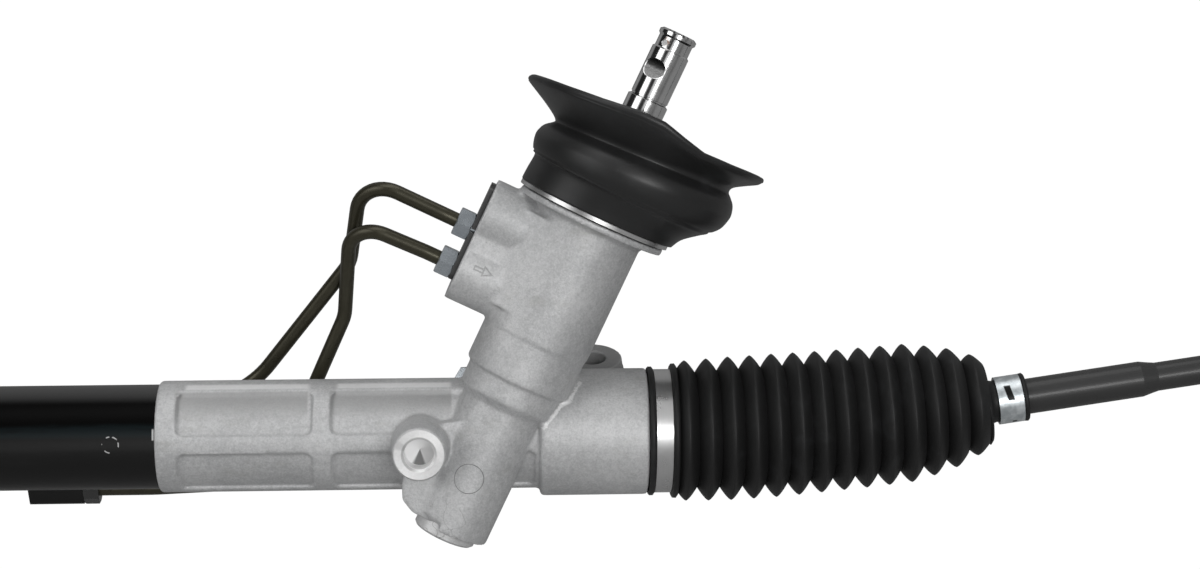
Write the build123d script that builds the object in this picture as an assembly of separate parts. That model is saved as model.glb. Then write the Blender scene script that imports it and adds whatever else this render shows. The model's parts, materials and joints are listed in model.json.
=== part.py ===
from build123d import *
import os
from math import acos, atan, cos, degrees, pi, radians, sin, sqrt, tan

# A hydraulic rack-and-pinion steering gear, in millimetres and degrees.
# The working frame has its origin where the pinion axis passes in front of the
# rack axis: +X runs along the rack to the pinion end, +Y points to the back of
# the casting, +Z up the casting. The finished part is rolled about X until the
# mounting bores stand upright, with the pinion-side bore's lower end at zero.

# Attitude
install_roll = 18.6
pinion_lean = 25.5

# Fits and gaps
running_gap = 0.05
seat_gap = 0.02
free_gap = 0.3

# Gear pair
tooth_count = 8
normal_module = 1.8
pressure_angle = 25.0
pinion_helix = 20.0
profile_shift = 0.3
crest_trim = 0.18
root_gap = 0.25
flank_gap = 0.1
rack_addendum_share = 0.95
pinion_face_width = 34.0

# Rack and its travel
rack_radius = 13.0
rack_tooth_plane = 9.5
rack_stroke = 70.0
rack_tooth_spaces = 28
rack_flat_half = 82.0
ball_to_rack_end = 22.0
right_ball_x = 145.0
left_ball_x = -487.0
rack_stop_gap = 0.5

# Rack casting
casting_left = -144.0
casting_radius = 24.6
pocket_floor_radius = 22.8
casting_bore = 15.0
barrel_start = 22.6
barrel_radius = 28.0
barrel_end = 70.3
barrel_bore = 21.0
spigot_radius = 24.5
spigot_length = 12.7
pocket_ends = ((-134.7, -76.0), (-68.0, -6.0), (8.0, 20.6))
pocket_low = 4.0
pocket_high = 21.4
pocket_corner = 3.2
socket_depth = 28.0
socket_radius = 21.7

# Valve tower, heights are along the pinion axis from the crossing
tower_radius = 24.4
tower_step_radius = 23.8
tower_shoulder_radius = 22.0
tower_step = 49.3
tower_shoulder_top = 29.6
tower_shoulder_bottom = 18.6
tower_foot_radius = 18.5
tower_foot = -40.3
foot_lip_drop = 2.3
foot_lip_edge = -4.0
lower_cap_drop = 6.3
tower_top = 104.8
flange_radius = 33.4
flange_thickness = 2.8
valve_bore = 17.5
valve_bore_floor = 33.0
pinion_bore = 10.6

# Port boss on the tower's left and its pipe fittings
port_face = 43.8
port_boss_radius = 15.0
port_boss_heights = (64.0, 90.0)
port_web_outline = ((-36.0, -7.7), (-12.0, -21.2), (0.0, -20.0), (0.0, 0.0), (-36.0, 0.0))
port_web_span = (56.5, 99.5)
port_heights = (63.3, 81.4)
port_plate_span = (57.4, 102.6)
port_plate_thickness = 2.0
port_plate_width = 13.0
plate_notch = (80.6, 1.4, 4.0)
pipe_radius = 3.2
pipe_wall = 0.7
nut_across_flats = 12.0
nut_length = 7.0
nut_chamfer_share = 0.6
nut_shank_radius = 5.0
nut_shank_length = 8.0
port_depth = 14.0
oil_drilling_radius = 3.0

# Front boss, yoke boss and mounting lug
front_boss_x = -29.2
front_boss_z = -1.0
front_boss_face = 46.0
front_boss_radius = 11.0
front_hole_radius = 6.8
front_hole_depth = 12.0
drill_point_angle = 118.0
web_outline = ((0.0, 12.0), (4.0, -24.0), (-14.0, -36.0), (-25.0, -34.0), (-33.2, -29.5),
               (-37.3, -24.0), (-37.4, -17.0))
web_setback = 6.0
yoke_boss_radius = 22.0
yoke_boss_end = 46.0
yoke_radius = 16.0
yoke_length = 24.0
yoke_front = 3.0
yoke_recess_radius = 9.5
yoke_recess_depth = 9.0
yoke_plug_key = 6.9
yoke_nut_across_flats = 44.0
yoke_nut_width = 6.0
yoke_coil_radius = 7.4
yoke_wire_radius = 1.2
yoke_coil_turns = 4
lug_x = 47.3
lug_y = 41.4
lug_top = 16.0
lug_bottom = -18.0
lug_radius = 14.0
lug_bore = 6.6
lug_arm_root = 12.0
lug_arm_spread = (6.0, 3.0)
lug_arm_inset = 2.0
feed_port_radius = 9.5
feed_port_bores = (6.5, 7.5)
feed_port_face = 33.0
feed_port_depth = 12.5

# Cylinder tube and what it holds
tube_radius = 23.0
tube_bore = 19.75
tube_spigot_radius = 21.68
tube_left = -392.0
tube_end_gap = 0.2
inner_seal_x = -180.0
seal_width = 8.0
support_width = 14.0
piston_x = -274.0
piston_width = 12.0
end_bush_x = -358.0
end_bush_width = 20.0
snap_ring_width = 1.6
snap_ring_depth = 1.4
groove_play = 0.1

# Left mounting
mount_x = -262.0
mount_width = 32.0
mount_rubber = 5.5
mount_strap = 3.0
mount_foot_y = 47.0
mount_foot_reach = 13.0
mount_hole_radius = 5.5
mount_drop = 30.0

# Pinion shaft, valve and input shaft
journal_radius = 6.0
bearing_outer_radius = 14.0
bearing_width = 8.0
bearing_top = -21.0
bearing_ball_radius = 2.35
bearing_ball_count = 8
pinion_nut_across_flats = 15.0
pinion_nut_width = 5.5
upper_journal_radius = 10.2
upper_bush_radius = 13.2
upper_bush_span = (20.0, 31.0)
pinion_flange_radius = 14.0
pinion_flange_span = (34.0, 44.0)
sleeve_radius = 17.0
sleeve_bore = 9.7
sleeve_length = 47.0
sleeve_ring_count = 4
input_radius = 9.6
input_journal_top = 108.0
input_ground_radius = 8.95
input_grip_radius = 9.25
input_grip_start = 150.5
input_grip_length = 12.7
input_relief_length = 1.4
input_neck_radius = 8.5
input_neck_length = 21.3
input_waist_radius = 7.7
input_waist_length = 5.6
input_collar_rise = 0.9
input_collar_length = 1.6
input_top_radius = 7.1
input_top_chamfer = 0.9
pinch_notch_rise = 12.2
pinch_notch_radius = 6.0
pinch_notch_distance = 12.6
pinch_notch_turn = 32.0
cross_pin_rise = 2.7
cross_pin_radius = 1.5
cross_pin_half_length = 7.2
cross_pin_turn = 38.0
torsion_bar_radius = 3.0
torsion_bar_waist = 0.7
torsion_bar_foot = 4.2
torsion_bar_lower_grip = 15.8
torsion_bar_upper_grip = 22.9
torsion_bar_taper = 2.0
torsion_bar_depth = 2.0
torsion_limit = 4.0
tang_width = 12.0
tang_thickness = 7.0
shaft_bearing_span = (92.0, 98.0)
shaft_seal_span = (98.4, 102.4)

# Ball joints and tie rods
ball_radius = 12.5
seat_wall = 2.5
ball_housing_radius = 19.0
swing_limit = 22.0
stud_radius = 8.0
stud_depth = 19.0
rod_radius = 7.9
rod_ball_neck_radius = 6.3
rod_neck_radius = 6.35
rod_neck_start = 147.0
rod_runout_radius = 6.6
rod_runout_span = (198.5, 211.0)
rod_thread_radius = 7.0
rod_length = 270.0
right_rod_rise = 9.1
jam_nut_across_flats = 22.0
jam_nut_width = 9.0
jam_nut_start = 200.0

# Boots
boot_wall = 1.6
boot_pitch = 9.9
boot_valley_radius = 25.8
boot_crest_radii = (31.2, 31.6, 31.9, 31.9, 31.9, 31.7, 31.5, 31.3, 31.2, 31.0, 30.8, 29.0, 26.6, 22.6)
boot_fold_depth = 5.2
boot_crest_half = 0.9
boot_lean_share = 0.55
boot_arch = 1.2
boot_neck_radius = 9.3
boot_cuff_length = 11.9
boot_tail_length = 15.5
boot_tail_reach = 95.5
boot_band_width = 7.2
boot_band_share = 0.54
band_thickness = 1.0
boot_clamp_width = 11.0
clamp_ear_size = (7.0, 3.6, 1.4)

# Pipe routes behind the casting, corner points with their bend radii
lower_pipe_route = ((-58.6, -14.0, 96.4), (-63.5, 14.0, 51.2), (-90.5, 33.5, -8.2), (-107.0, 28.0, -26.8))
lower_pipe_bends = (13.0, 18.0, 40.0, 14.0)
lower_pipe_lead = (-150.0, 16.0)
upper_pipe_route = ((-53.5, -13.0, 115.5), (-60.4, 8.0, 75.6), (-104.7, 33.0, 20.0), (-125.3, 30.0, 9.0),
                    (-220.0, 29.0, 10.2), (-240.0, 28.0, 30.0), (-284.0, 28.0, 30.0))
upper_pipe_bends = (14.0, 18.0, 30.0, 20.0, 14.0, 14.0, 14.0)
upper_pipe_lead = (-304.0, 14.0)
tube_port_x = (-193.0, -354.0)
tube_port_turn = (-60.0, 18.5)
tube_port_length = 24.0
tube_port_height = 11.0
tube_port_reach = 35.5
port_lead_in = 6.0
port_sink = 3.0

# Dash seal, (share of the height, radius, sideways shift, rise of the right side)
seal_rings = (
    (0.0, 35.7, 0.6, 0.0), (0.117, 36.95, 2.05, 0.0), (0.259, 39.7, 5.3, -1.5), (0.303, 41.85, 6.15, -0.6),
    (0.395, 44.55, 7.45, 0.4), (0.496, 45.7, 7.9, 1.4), (0.566, 45.6, 8.2, 1.8), (0.648, 44.3, 8.3, 2.8),
    (0.712, 41.7, 8.7, 2.8), (0.747, 40.65, 8.05, 3.6), (0.8, 42.0, 7.4, 4.1), (0.882, 47.2, 6.6, 3.5),
    (0.971, 53.85, 4.45, 1.5), (1.0, 54.95, 4.65, 2.0),
)
seal_bottom = 110.3
seal_rim_height = 150.6
seal_rim_tilt = 2.9
seal_rim_thickness = 2.2
seal_wall = 3.0
seal_lip_width = 4.0
seal_ring_span = (108.2, 110.0)
seal_ring_outer = 34.8
seal_ring_inner = 31.0

# Sizes that follow from the ones above
transverse_module = normal_module / cos(radians(pinion_helix))
pitch_radius = tooth_count * transverse_module / 2
transverse_angle = atan(tan(radians(pressure_angle)) / cos(radians(pinion_helix)))
base_radius = pitch_radius * cos(transverse_angle)
pinion_tip_radius = pitch_radius + (1 + profile_shift) * normal_module - crest_trim
reference_line = pitch_radius + profile_shift * normal_module
rack_addendum = rack_addendum_share * normal_module
pinion_root_radius = reference_line - rack_addendum - root_gap
rack_slant = pinion_lean - pinion_helix
rack_pitch = pi * normal_module / cos(radians(rack_slant))
pinion_offset = rack_tooth_plane + reference_line - rack_addendum
rack_root_plane = pinion_offset - pinion_tip_radius - root_gap
rack_right_end = right_ball_x - ball_to_rack_end
rack_left_end = left_ball_x + ball_to_rack_end
barrel_stop = rack_right_end - rack_stroke - rack_stop_gap
spigot_end = barrel_end + spigot_length
flange_top = tower_top + flange_thickness
grip_end = input_grip_start + input_grip_length
neck_start = grip_end + input_relief_length
neck_end = neck_start + input_neck_length
waist_end = neck_end + input_waist_length
collar_start = waist_end + input_collar_rise
collar_end = collar_start + input_collar_length
input_top = collar_end + input_top_chamfer
cross_pin_height = neck_end + cross_pin_rise
pinch_notch_height = neck_start + pinch_notch_rise
mount_inner = tube_radius + mount_rubber
seat_radius = ball_radius + running_gap
seat_outer = seat_radius + seat_wall
pocket_radius = seat_outer + running_gap
end_groove_x = end_bush_x - end_bush_width - snap_ring_width - groove_play
tower_groove_height = shaft_seal_span[1] + groove_play

rack_frame = Plane((0, 0, 0), x_dir=(0, 1, 0), z_dir=(1, 0, 0))
lean = radians(pinion_lean)
pinion_frame = Plane((0, -pinion_offset, 0), x_dir=(cos(lean), 0, -sin(lean)), z_dir=(sin(lean), 0, cos(lean)))
front_frame = Plane((0, 0, 0), x_dir=(1, 0, 0), z_dir=(0, -1, 0))
back_frame = Plane((0, 0, 0), x_dir=(-1, 0, 0), z_dir=(0, 1, 0))
port_frame = pinion_frame.location * Plane((0, 0, 0), x_dir=(0, -1, 0), z_dir=(-1, 0, 0)).location
upright = Location((0, 0, 0), (install_roll, 0, 0))
installed = Location((-lug_x, -lug_y, -lug_bottom)) * Location((0, 0, 0), (-install_roll, 0, 0))


def place(frame):
    """Location of a frame, given as a plane or already as a location."""
    return frame.location if isinstance(frame, Plane) else frame


def turned(frame, points):
    """Solid of revolution about the frame's Z axis from (radius, height) points."""
    profile = make_face(Polyline(*points, close=True))
    return place(frame) * revolve(Plane.XZ * profile, Axis.Z)


def drum(frame, radius, start, end):
    """Plain cylinder along the frame's Z axis."""
    return turned(frame, [(0, start), (radius, start), (radius, end), (0, end)])


def ring(frame, outer, inner, start, end):
    """Plain hollow cylinder along the frame's Z axis."""
    return turned(frame, [(inner, start), (outer, start), (outer, end), (inner, end)])


def hexagon(frame, across_flats, start, end, bore=0.0):
    """Hexagon nut blank with turned-off corners and a bore."""
    corner = across_flats / sqrt(3)
    chamfer_rise = nut_chamfer_share * (corner - across_flats / 2)
    blank = extrude(Pos(0, 0, start) * RegularPolygon(corner, 6), end - start)
    waist = turned(Plane.XY, [
        (0, start), (across_flats / 2, start), (corner + 0.1, start + chamfer_rise),
        (corner + 0.1, end - chamfer_rise), (across_flats / 2, end), (0, end),
    ])
    nut = blank & waist
    if bore:
        nut -= drum(Plane.XY, bore, start - 1, end + 1)
    return place(frame) * nut


def polar_copies(shape, count, frame):
    """Copies of a shape set evenly round the frame's Z axis."""
    origin = place(frame)
    return [origin * Rot(0, 0, 360 * step / count) * origin.inverse() * shape for step in range(count)]


def single(shape):
    """The one solid of a result that should hold exactly one."""
    return shape.solids().sort_by(SortBy.VOLUME)[-1]


def save(name, shape):
    """Write one named piece in the installed attitude."""
    solids = shape if isinstance(shape, list) else shape.solids()
    moved = [installed * solid for solid in solids]
    result = moved[0] if len(moved) == 1 else Compound(children=moved)
    export_step(result, f"parts/{name}.step")


# Rack casting

def die_pocket(start, end, side):
    """Rounded pocket with its floor on a cylinder, open towards the front or the back."""
    width = end - start
    height = pocket_high - pocket_low
    middle = (start + end) / 2
    pair = []
    for level in (1, -1):
        outline = Pos(middle, level * (pocket_low + pocket_high) / 2) * RectangleRounded(
            width, height, pocket_corner)
        pair.append(extrude(Plane.XZ * outline, casting_radius + 5, dir=(0, side, 0)))
    shell = ring(rack_frame, casting_radius + 5, pocket_floor_radius, start, end)
    return [block & shell for block in pair]


def casting_barrel():
    """Outside of the casting round the rack, with its die-cast pockets."""
    body = turned(rack_frame, [
        (0, casting_left), (casting_radius - 0.8, casting_left), (casting_radius, casting_left + 0.8),
        (casting_radius, barrel_start), (barrel_radius - 1.2, barrel_start), (barrel_radius, barrel_start + 1.2),
        (barrel_radius, barrel_end - 0.8), (barrel_radius - 0.8, barrel_end),
        (spigot_radius, barrel_end), (spigot_radius, spigot_end - 1), (spigot_radius - 1, spigot_end),
        (0, spigot_end),
    ])
    for start, end in pocket_ends:
        for side in (-1, 1):
            for cutter in die_pocket(start, end, side):
                body -= cutter
    return body


def tower_body():
    """Outside of the valve tower, turned about the pinion axis."""
    return turned(pinion_frame, [
        (0, tower_foot), (tower_foot_radius - 2, tower_foot), (tower_foot_radius, tower_foot + 2),
        (tower_foot_radius, tower_shoulder_bottom - 2), (tower_shoulder_radius - 1.5, tower_shoulder_bottom),
        (tower_shoulder_radius, tower_shoulder_bottom + 1.5), (tower_shoulder_radius, tower_shoulder_top),
        (tower_step_radius, tower_shoulder_top + 0.6), (tower_step_radius, tower_step - 0.6),
        (tower_radius, tower_step), (tower_radius, tower_top - 2), (tower_radius + 2, tower_top),
        (flange_radius, tower_top), (flange_radius, flange_top), (0, flange_top),
    ])


def foot_lip():
    """Lip that hangs below the foot on its front right."""
    lip = ring(Plane.XY, tower_foot_radius, bearing_outer_radius + free_gap, tower_foot - foot_lip_drop, tower_foot + 3)
    reach = 2 * tower_foot_radius
    corner = Pos(foot_lip_edge, 0, tower_foot) * Box(reach, reach, reach, align=(Align.MIN, Align.MAX, Align.CENTER))
    return place(pinion_frame) * (lip & corner)


def port_boss():
    """Two bulges that carry the pipe ports, joined to the tower by a slanted web."""
    low, high = port_boss_heights
    outline = Pos(0, low) * Circle(port_boss_radius)
    outline += Pos(0, high) * Circle(port_boss_radius)
    outline += Pos(0, (low + high) / 2) * Rectangle(2 * port_boss_radius - 6, high - low)
    start, end = port_web_span
    web = Pos(0, 0, start) * extrude(make_face(Polyline(*port_web_outline, close=True)), end - start)
    return [place(port_frame) * extrude(outline, port_face), place(pinion_frame) * web]


def feed_bosses():
    """Round bosses on the tower's back for the pressure and return hoses."""
    back = pinion_frame.location * back_frame.location
    return [back * Pos(0, height, 0) * extrude(Circle(feed_port_radius + 2), feed_port_face)
            for height in port_boss_heights]


def front_boss():
    """Tapered boss on the front with its machined face."""
    frame = front_frame.location * Pos(front_boss_x, front_boss_z, 0)
    boss = turned(frame, [
        (0, 10), (front_boss_radius + 2.5, 10), (front_boss_radius + 0.6, front_boss_face - 1),
        (front_boss_radius, front_boss_face), (0, front_boss_face),
    ])
    web = place(front_frame) * Pos(0, 0, 10) * extrude(
        make_face(Polyline((front_boss_x, front_boss_z + 9), *web_outline, close=True)),
        tower_foot_radius + pinion_offset - web_setback - 10)
    return [boss, web]


def front_hole():
    """Blind drilled hole with the drill's pointed bottom."""
    frame = front_frame.location * Pos(front_boss_x, front_boss_z, 0)
    point = front_hole_radius / tan(radians(drill_point_angle / 2))
    floor = front_boss_face - front_hole_depth
    return turned(frame, [
        (0, floor - point), (front_hole_radius, floor), (front_hole_radius, front_boss_face - 0.6),
        (front_hole_radius + 0.6, front_boss_face + 0.01), (0, front_boss_face + 0.01),
    ])


def mounting_lug():
    """Pinion-side ear with its upright bore, joined to the barrel by an arm."""
    height = lug_top - lug_bottom
    ear = Pos(lug_x, lug_y, lug_bottom) * extrude(Circle(lug_radius), height)
    left, right = lug_arm_spread
    arm_outline = make_face(Polyline(
        (lug_x - lug_radius, lug_y), (lug_x - lug_radius - left, lug_arm_root),
        (lug_x + lug_radius + right, lug_arm_root), (lug_x + lug_radius, lug_y), close=True))
    arm = Pos(0, 0, lug_bottom + lug_arm_inset) * extrude(arm_outline, height - 2 * lug_arm_inset)
    return [upright * ear, upright * arm]


def lug_hole():
    """Bore of the mounting lug."""
    return upright * Pos(lug_x, lug_y, lug_bottom - 1) * extrude(Circle(lug_bore), lug_top - lug_bottom + 2)


def casting_bores():
    """Everything machined into the casting."""
    rack_way = turned(rack_frame, [
        (0, casting_left - 1), (socket_radius, casting_left - 1), (socket_radius, casting_left + socket_depth),
        (casting_bore, casting_left + socket_depth), (casting_bore, barrel_stop - 4),
        (rack_radius + 1.2, barrel_stop - 4), (rack_radius + 1.2, barrel_stop), (barrel_bore, barrel_stop),
        (barrel_bore, spigot_end + 1), (0, spigot_end + 1),
    ])
    pinion_way = turned(pinion_frame, [
        (0, tower_foot - lower_cap_drop), (bearing_outer_radius + seat_gap, tower_foot - lower_cap_drop),
        (bearing_outer_radius + seat_gap, bearing_top), (bearing_outer_radius - 2, bearing_top),
        (bearing_outer_radius - 2, bearing_top + 2), (pinion_bore, bearing_top + 2),
        (pinion_bore, upper_bush_span[0]), (upper_bush_radius + seat_gap, upper_bush_span[0]),
        (upper_bush_radius + seat_gap, upper_bush_span[1]), (valve_bore, valve_bore_floor),
        (valve_bore, flange_top + 1), (0, flange_top + 1),
    ])
    yoke_way = drum(back_frame, yoke_radius + running_gap, 0, yoke_boss_end + 1)
    return [rack_way, pinion_way, yoke_way, front_hole(), lug_hole()]


def oil_port(frame, radius, face, depth):
    """Threaded port with its oil drilling on to the valve bore."""
    port = frame * Pos(0, 0, face - depth) * extrude(Circle(radius), depth + 1)
    drilling = frame * Pos(0, 0, valve_bore - 2) * extrude(Circle(oil_drilling_radius), face - valve_bore)
    return [port, drilling]


def port_bores():
    """Pipe ports on the left and hose ports on the back."""
    bores = []
    for height in port_heights:
        bores += oil_port(place(port_frame) * Pos(0, height, 0), nut_shank_radius, port_face, port_depth)
    back = pinion_frame.location * back_frame.location
    for height, bore in zip(port_boss_heights, feed_port_bores):
        bores += oil_port(back * Pos(0, height, 0), bore, feed_port_face, feed_port_depth)
    return bores


def snap_groove(frame, bore, height):
    """Groove that holds a snap ring inside a bore."""
    return ring(frame, bore + snap_ring_depth / 2, bore - 2, height, height + snap_ring_width)


def snap_ring(frame, bore, height):
    """Snap ring that fills the groove cut by snap_groove."""
    return ring(frame, bore + snap_ring_depth / 2 - seat_gap, bore - 1.6,
                height + running_gap, height + snap_ring_width - running_gap)


def rack_housing():
    """Cast housing: rack barrel, valve tower, bosses and lug with all bores."""
    body = casting_barrel()
    for piece in [tower_body(), foot_lip()] + port_boss() + feed_bosses() + front_boss() + mounting_lug():
        body += piece
    body += drum(back_frame, yoke_boss_radius, 0, yoke_boss_end)
    for cutter in casting_bores() + port_bores():
        body -= cutter
    body -= snap_groove(pinion_frame, valve_bore, tower_groove_height)
    return single(body)


# Gear pair and valve

def involute_half_angle(radius):
    """Half the angle of a pinion tooth at a radius, on the section across its axis."""
    thickness = (pi * normal_module / 2 + 2 * profile_shift * normal_module
                 * tan(radians(pressure_angle))) / cos(radians(pinion_helix)) - flank_gap
    local = acos(min(1.0, base_radius / radius))
    involute = tan(transverse_angle) - transverse_angle - (tan(local) - local)
    return thickness / (2 * pitch_radius) + involute


def pinion_section():
    """Cross-section of the toothed part, one tooth pointing to the back."""
    def polar(radius, angle):
        return (radius * cos(angle), radius * sin(angle))
    radii = [base_radius + (pinion_tip_radius - base_radius) * step / 4 for step in range(5)]
    edges = []
    for tooth in range(tooth_count):
        centre = pi / 2 + 2 * pi * tooth / tooth_count
        following = centre + 2 * pi / tooth_count
        half_base = involute_half_angle(base_radius)
        rising = [polar(radius, centre - involute_half_angle(radius)) for radius in radii]
        falling = [polar(radius, centre + involute_half_angle(radius)) for radius in reversed(radii)]
        edges.append(Line(polar(pinion_root_radius, centre - half_base), rising[0]))
        edges.append(Spline(*rising))
        edges.append(ThreePointArc(rising[-1], polar(pinion_tip_radius, centre), falling[0]))
        edges.append(Spline(*falling))
        edges.append(Line(falling[-1], polar(pinion_root_radius, centre + half_base)))
        edges.append(ThreePointArc(
            polar(pinion_root_radius, centre + half_base), polar(pinion_root_radius, (centre + following) / 2),
            polar(pinion_root_radius, following - half_base)))
    return make_face(Curve() + edges)


def pinion():
    """Helical pinion with its journals and the flange that drives the valve sleeve."""
    twist = degrees(pinion_face_width * tan(radians(pinion_helix)) / pitch_radius)
    start = -pinion_face_width / 2
    section = Rot(0, 0, -twist / 2) * pinion_section()
    toothed = Solid.extrude_linear_with_rotation(
        section.face(), (0, 0, 0), (0, 0, pinion_face_width), twist)
    toothed = Pos(0, 0, start) * toothed
    low, high = pinion_flange_span
    shaft = turned(Plane.XY, [
        (0, bearing_top - 16), (journal_radius - 1.4, bearing_top - 16), (journal_radius - 1, bearing_top - 15.6),
        (journal_radius - 1, bearing_top - bearing_width + 0.5), (journal_radius, bearing_top - bearing_width + 0.5),
        (journal_radius, bearing_top), (journal_radius + 2, bearing_top), (journal_radius + 2, start - 1),
        (pinion_root_radius - 0.2, start + 1), (pinion_root_radius - 0.2, -start - 1),
        (upper_journal_radius, -start + 2), (upper_journal_radius, low),
        (pinion_flange_radius, low), (pinion_flange_radius, high), (0, high),
    ])
    body = shaft + toothed
    turn = sin(radians(torsion_limit))
    slot_width = tang_width + tang_thickness * turn + 6 * running_gap
    slot_thickness = tang_thickness + tang_width * turn + 6 * running_gap
    slot_depth = 7.0
    slot = Pos(0, 0, high - slot_depth) * extrude(Rectangle(slot_width, slot_thickness), slot_depth + 1)
    body -= slot
    body -= drum(Plane.XY, torsion_bar_radius + running_gap, 4, high + 1)
    return single(place(pinion_frame) * body)


def valve_sleeve():
    """Outer valve sleeve with oil slots between its ring grooves."""
    start = pinion_flange_span[1]
    points = [(sleeve_bore, start), (sleeve_radius, start)]
    pitch = sleeve_length / sleeve_ring_count
    for step in range(sleeve_ring_count):
        level = start + pitch * (step + 0.5)
        points += [(sleeve_radius, level - 1.6), (sleeve_radius - 1.6, level - 1.6),
                   (sleeve_radius - 1.6, level + 1.6), (sleeve_radius, level + 1.6)]
    points += [(sleeve_radius, start + sleeve_length), (sleeve_bore, start + sleeve_length)]
    body = turned(Plane.XY, points)
    for step in range(1, sleeve_ring_count):
        drilling = Pos(0, 0, start + pitch * step) * Rot(0, 90, 0) * extrude(Circle(1.6), sleeve_radius + 1)
        for hole in polar_copies(drilling, 4, Plane.XY):
            body -= hole
    return single(place(pinion_frame) * body)


def sleeve_rings():
    """Sealing rings in the grooves of the valve sleeve."""
    start = pinion_flange_span[1]
    pitch = sleeve_length / sleeve_ring_count
    return [ring(pinion_frame, valve_bore - running_gap, sleeve_radius - 1.55,
                 start + pitch * (step + 0.5) - 1.5, start + pitch * (step + 0.5) + 1.5)
            for step in range(sleeve_ring_count)]


def pin_cutter(radius, half_length):
    """Cylinder across the input shaft's head, where the cross pin sits."""
    return Pos(0, 0, cross_pin_height) * Rot(0, 0, -cross_pin_turn) * Rot(90, 0, 0) * extrude(
        Circle(radius), half_length, both=True)


def input_shaft():
    """Input shaft with its tang, valve grooves, pinch notch and stepped head."""
    low = pinion_flange_span[1]
    body = turned(Plane.XY, [
        (0, low + 0.3), (input_radius, low + 0.3), (input_radius, input_journal_top),
        (input_ground_radius, input_journal_top + 0.5), (input_ground_radius, input_grip_start - 0.5),
        (input_grip_radius, input_grip_start), (input_grip_radius, grip_end),
        (input_neck_radius - 0.4, neck_start - 0.7),
        (input_neck_radius - 0.4, neck_start - 0.2), (input_neck_radius, neck_start), (input_neck_radius, neck_end),
        (input_waist_radius, neck_end + 0.7), (input_waist_radius, waist_end),
        (input_neck_radius, collar_start), (input_neck_radius, collar_end), (input_top_radius, input_top),
        (0, input_top),
    ])
    body += Pos(0, 0, low - 6.5) * extrude(Rectangle(tang_width, tang_thickness), 7.5)
    groove = Pos(input_radius + 0.2, 0, low + 7) * extrude(Circle(1.4), sleeve_length - 13)
    for copy in polar_copies(groove, 8, Plane.XY):
        body -= copy
    notch = Pos(0, -pinch_notch_distance, pinch_notch_height) * Rot(0, 90, 0) * extrude(
        Circle(pinch_notch_radius), 2 * input_radius, both=True)
    body -= Rot(0, 0, -pinch_notch_turn) * notch
    body -= drum(Plane.XY, torsion_bar_radius + running_gap, low - 8, input_top + 1)
    body -= pin_cutter(cross_pin_radius, 2 * input_radius)
    return single(place(pinion_frame) * body)


def torsion_bar():
    """Slender bar inside both shafts, waisted along its working length."""
    top = input_top - torsion_bar_depth
    waist = torsion_bar_radius - torsion_bar_waist
    low = torsion_bar_foot + torsion_bar_lower_grip
    high = top - torsion_bar_upper_grip
    bar = turned(Plane.XY, [
        (0, torsion_bar_foot), (torsion_bar_radius, torsion_bar_foot), (torsion_bar_radius, low),
        (waist, low + torsion_bar_taper), (waist, high - torsion_bar_taper), (torsion_bar_radius, high),
        (torsion_bar_radius, top), (0, top),
    ])
    return single(place(pinion_frame) * (bar - pin_cutter(cross_pin_radius, 2 * torsion_bar_radius)))


def cross_pin():
    """Pin that fixes the torsion bar in the input shaft's head."""
    return place(pinion_frame) * pin_cutter(cross_pin_radius - seat_gap, cross_pin_half_length)


def bearing_pieces():
    """Deep-groove bearing below the pinion: inner race, outer race and balls."""
    bottom = bearing_top - bearing_width
    middle = bottom + bearing_width / 2
    mid_radius = (journal_radius + bearing_outer_radius) / 2
    track = place(pinion_frame) * Pos(0, 0, middle) * Torus(mid_radius, bearing_ball_radius + running_gap)
    inner = ring(pinion_frame, mid_radius - 1.3, journal_radius + seat_gap, bottom, bearing_top) - track
    outer = ring(pinion_frame, bearing_outer_radius, mid_radius + 1.3, bottom, bearing_top) - track
    ball = place(pinion_frame) * Pos(mid_radius, 0, middle) * Sphere(bearing_ball_radius)
    return inner, outer, polar_copies(ball, bearing_ball_count, pinion_frame)


# Rack, piston and yoke

def rack_bar():
    """Round rack with helical teeth cut across a flat on its front."""
    body = turned(rack_frame, [
        (0, rack_left_end), (rack_radius - 1, rack_left_end), (rack_radius, rack_left_end + 1),
        (rack_radius, piston_x - piston_width / 2 - 0.6), (rack_radius - 0.8, piston_x - piston_width / 2 - 0.6),
        (rack_radius - 0.8, piston_x + piston_width / 2 + 0.6), (rack_radius, piston_x + piston_width / 2 + 0.6),
        (rack_radius, rack_right_end - 1), (rack_radius - 1, rack_right_end), (0, rack_right_end),
    ])
    slope = rack_radius - rack_tooth_plane
    flat = extrude(Plane.XY * make_face(Polyline(
        (-rack_flat_half, -rack_tooth_plane), (rack_flat_half, -rack_tooth_plane),
        (rack_flat_half + 2 * slope, -rack_radius - 1), (-rack_flat_half - 2 * slope, -rack_radius - 1),
        close=True)), rack_radius + 1, both=True)
    body -= flat
    slant = radians(rack_slant)
    spread = tan(radians(pressure_angle))
    line = pinion_offset - reference_line
    half_space = (pi * normal_module / 2 + flank_gap) / 2
    outline = make_face(Polyline(
        (-half_space - (rack_tooth_plane + 1 - line) * spread, -rack_tooth_plane - 1),
        (half_space + (rack_tooth_plane + 1 - line) * spread, -rack_tooth_plane - 1),
        (half_space - (line - rack_root_plane) * spread, -rack_root_plane),
        (-half_space + (line - rack_root_plane) * spread, -rack_root_plane), close=True))
    first = -(rack_tooth_spaces // 2)
    for step in range(rack_tooth_spaces + 1):
        frame = Plane(((first + step) * rack_pitch, 0, 0), x_dir=(cos(slant), 0, -sin(slant)),
                      z_dir=(sin(slant), 0, cos(slant)))
        body -= place(frame) * extrude(outline, rack_radius, both=True)
    for end, direction in ((rack_left_end, 1), (rack_right_end, -1)):
        stop = end + direction * stud_depth
        body -= drum(rack_frame, stud_radius + seat_gap, min(end, stop), max(end, stop))
    return single(body)


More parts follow.
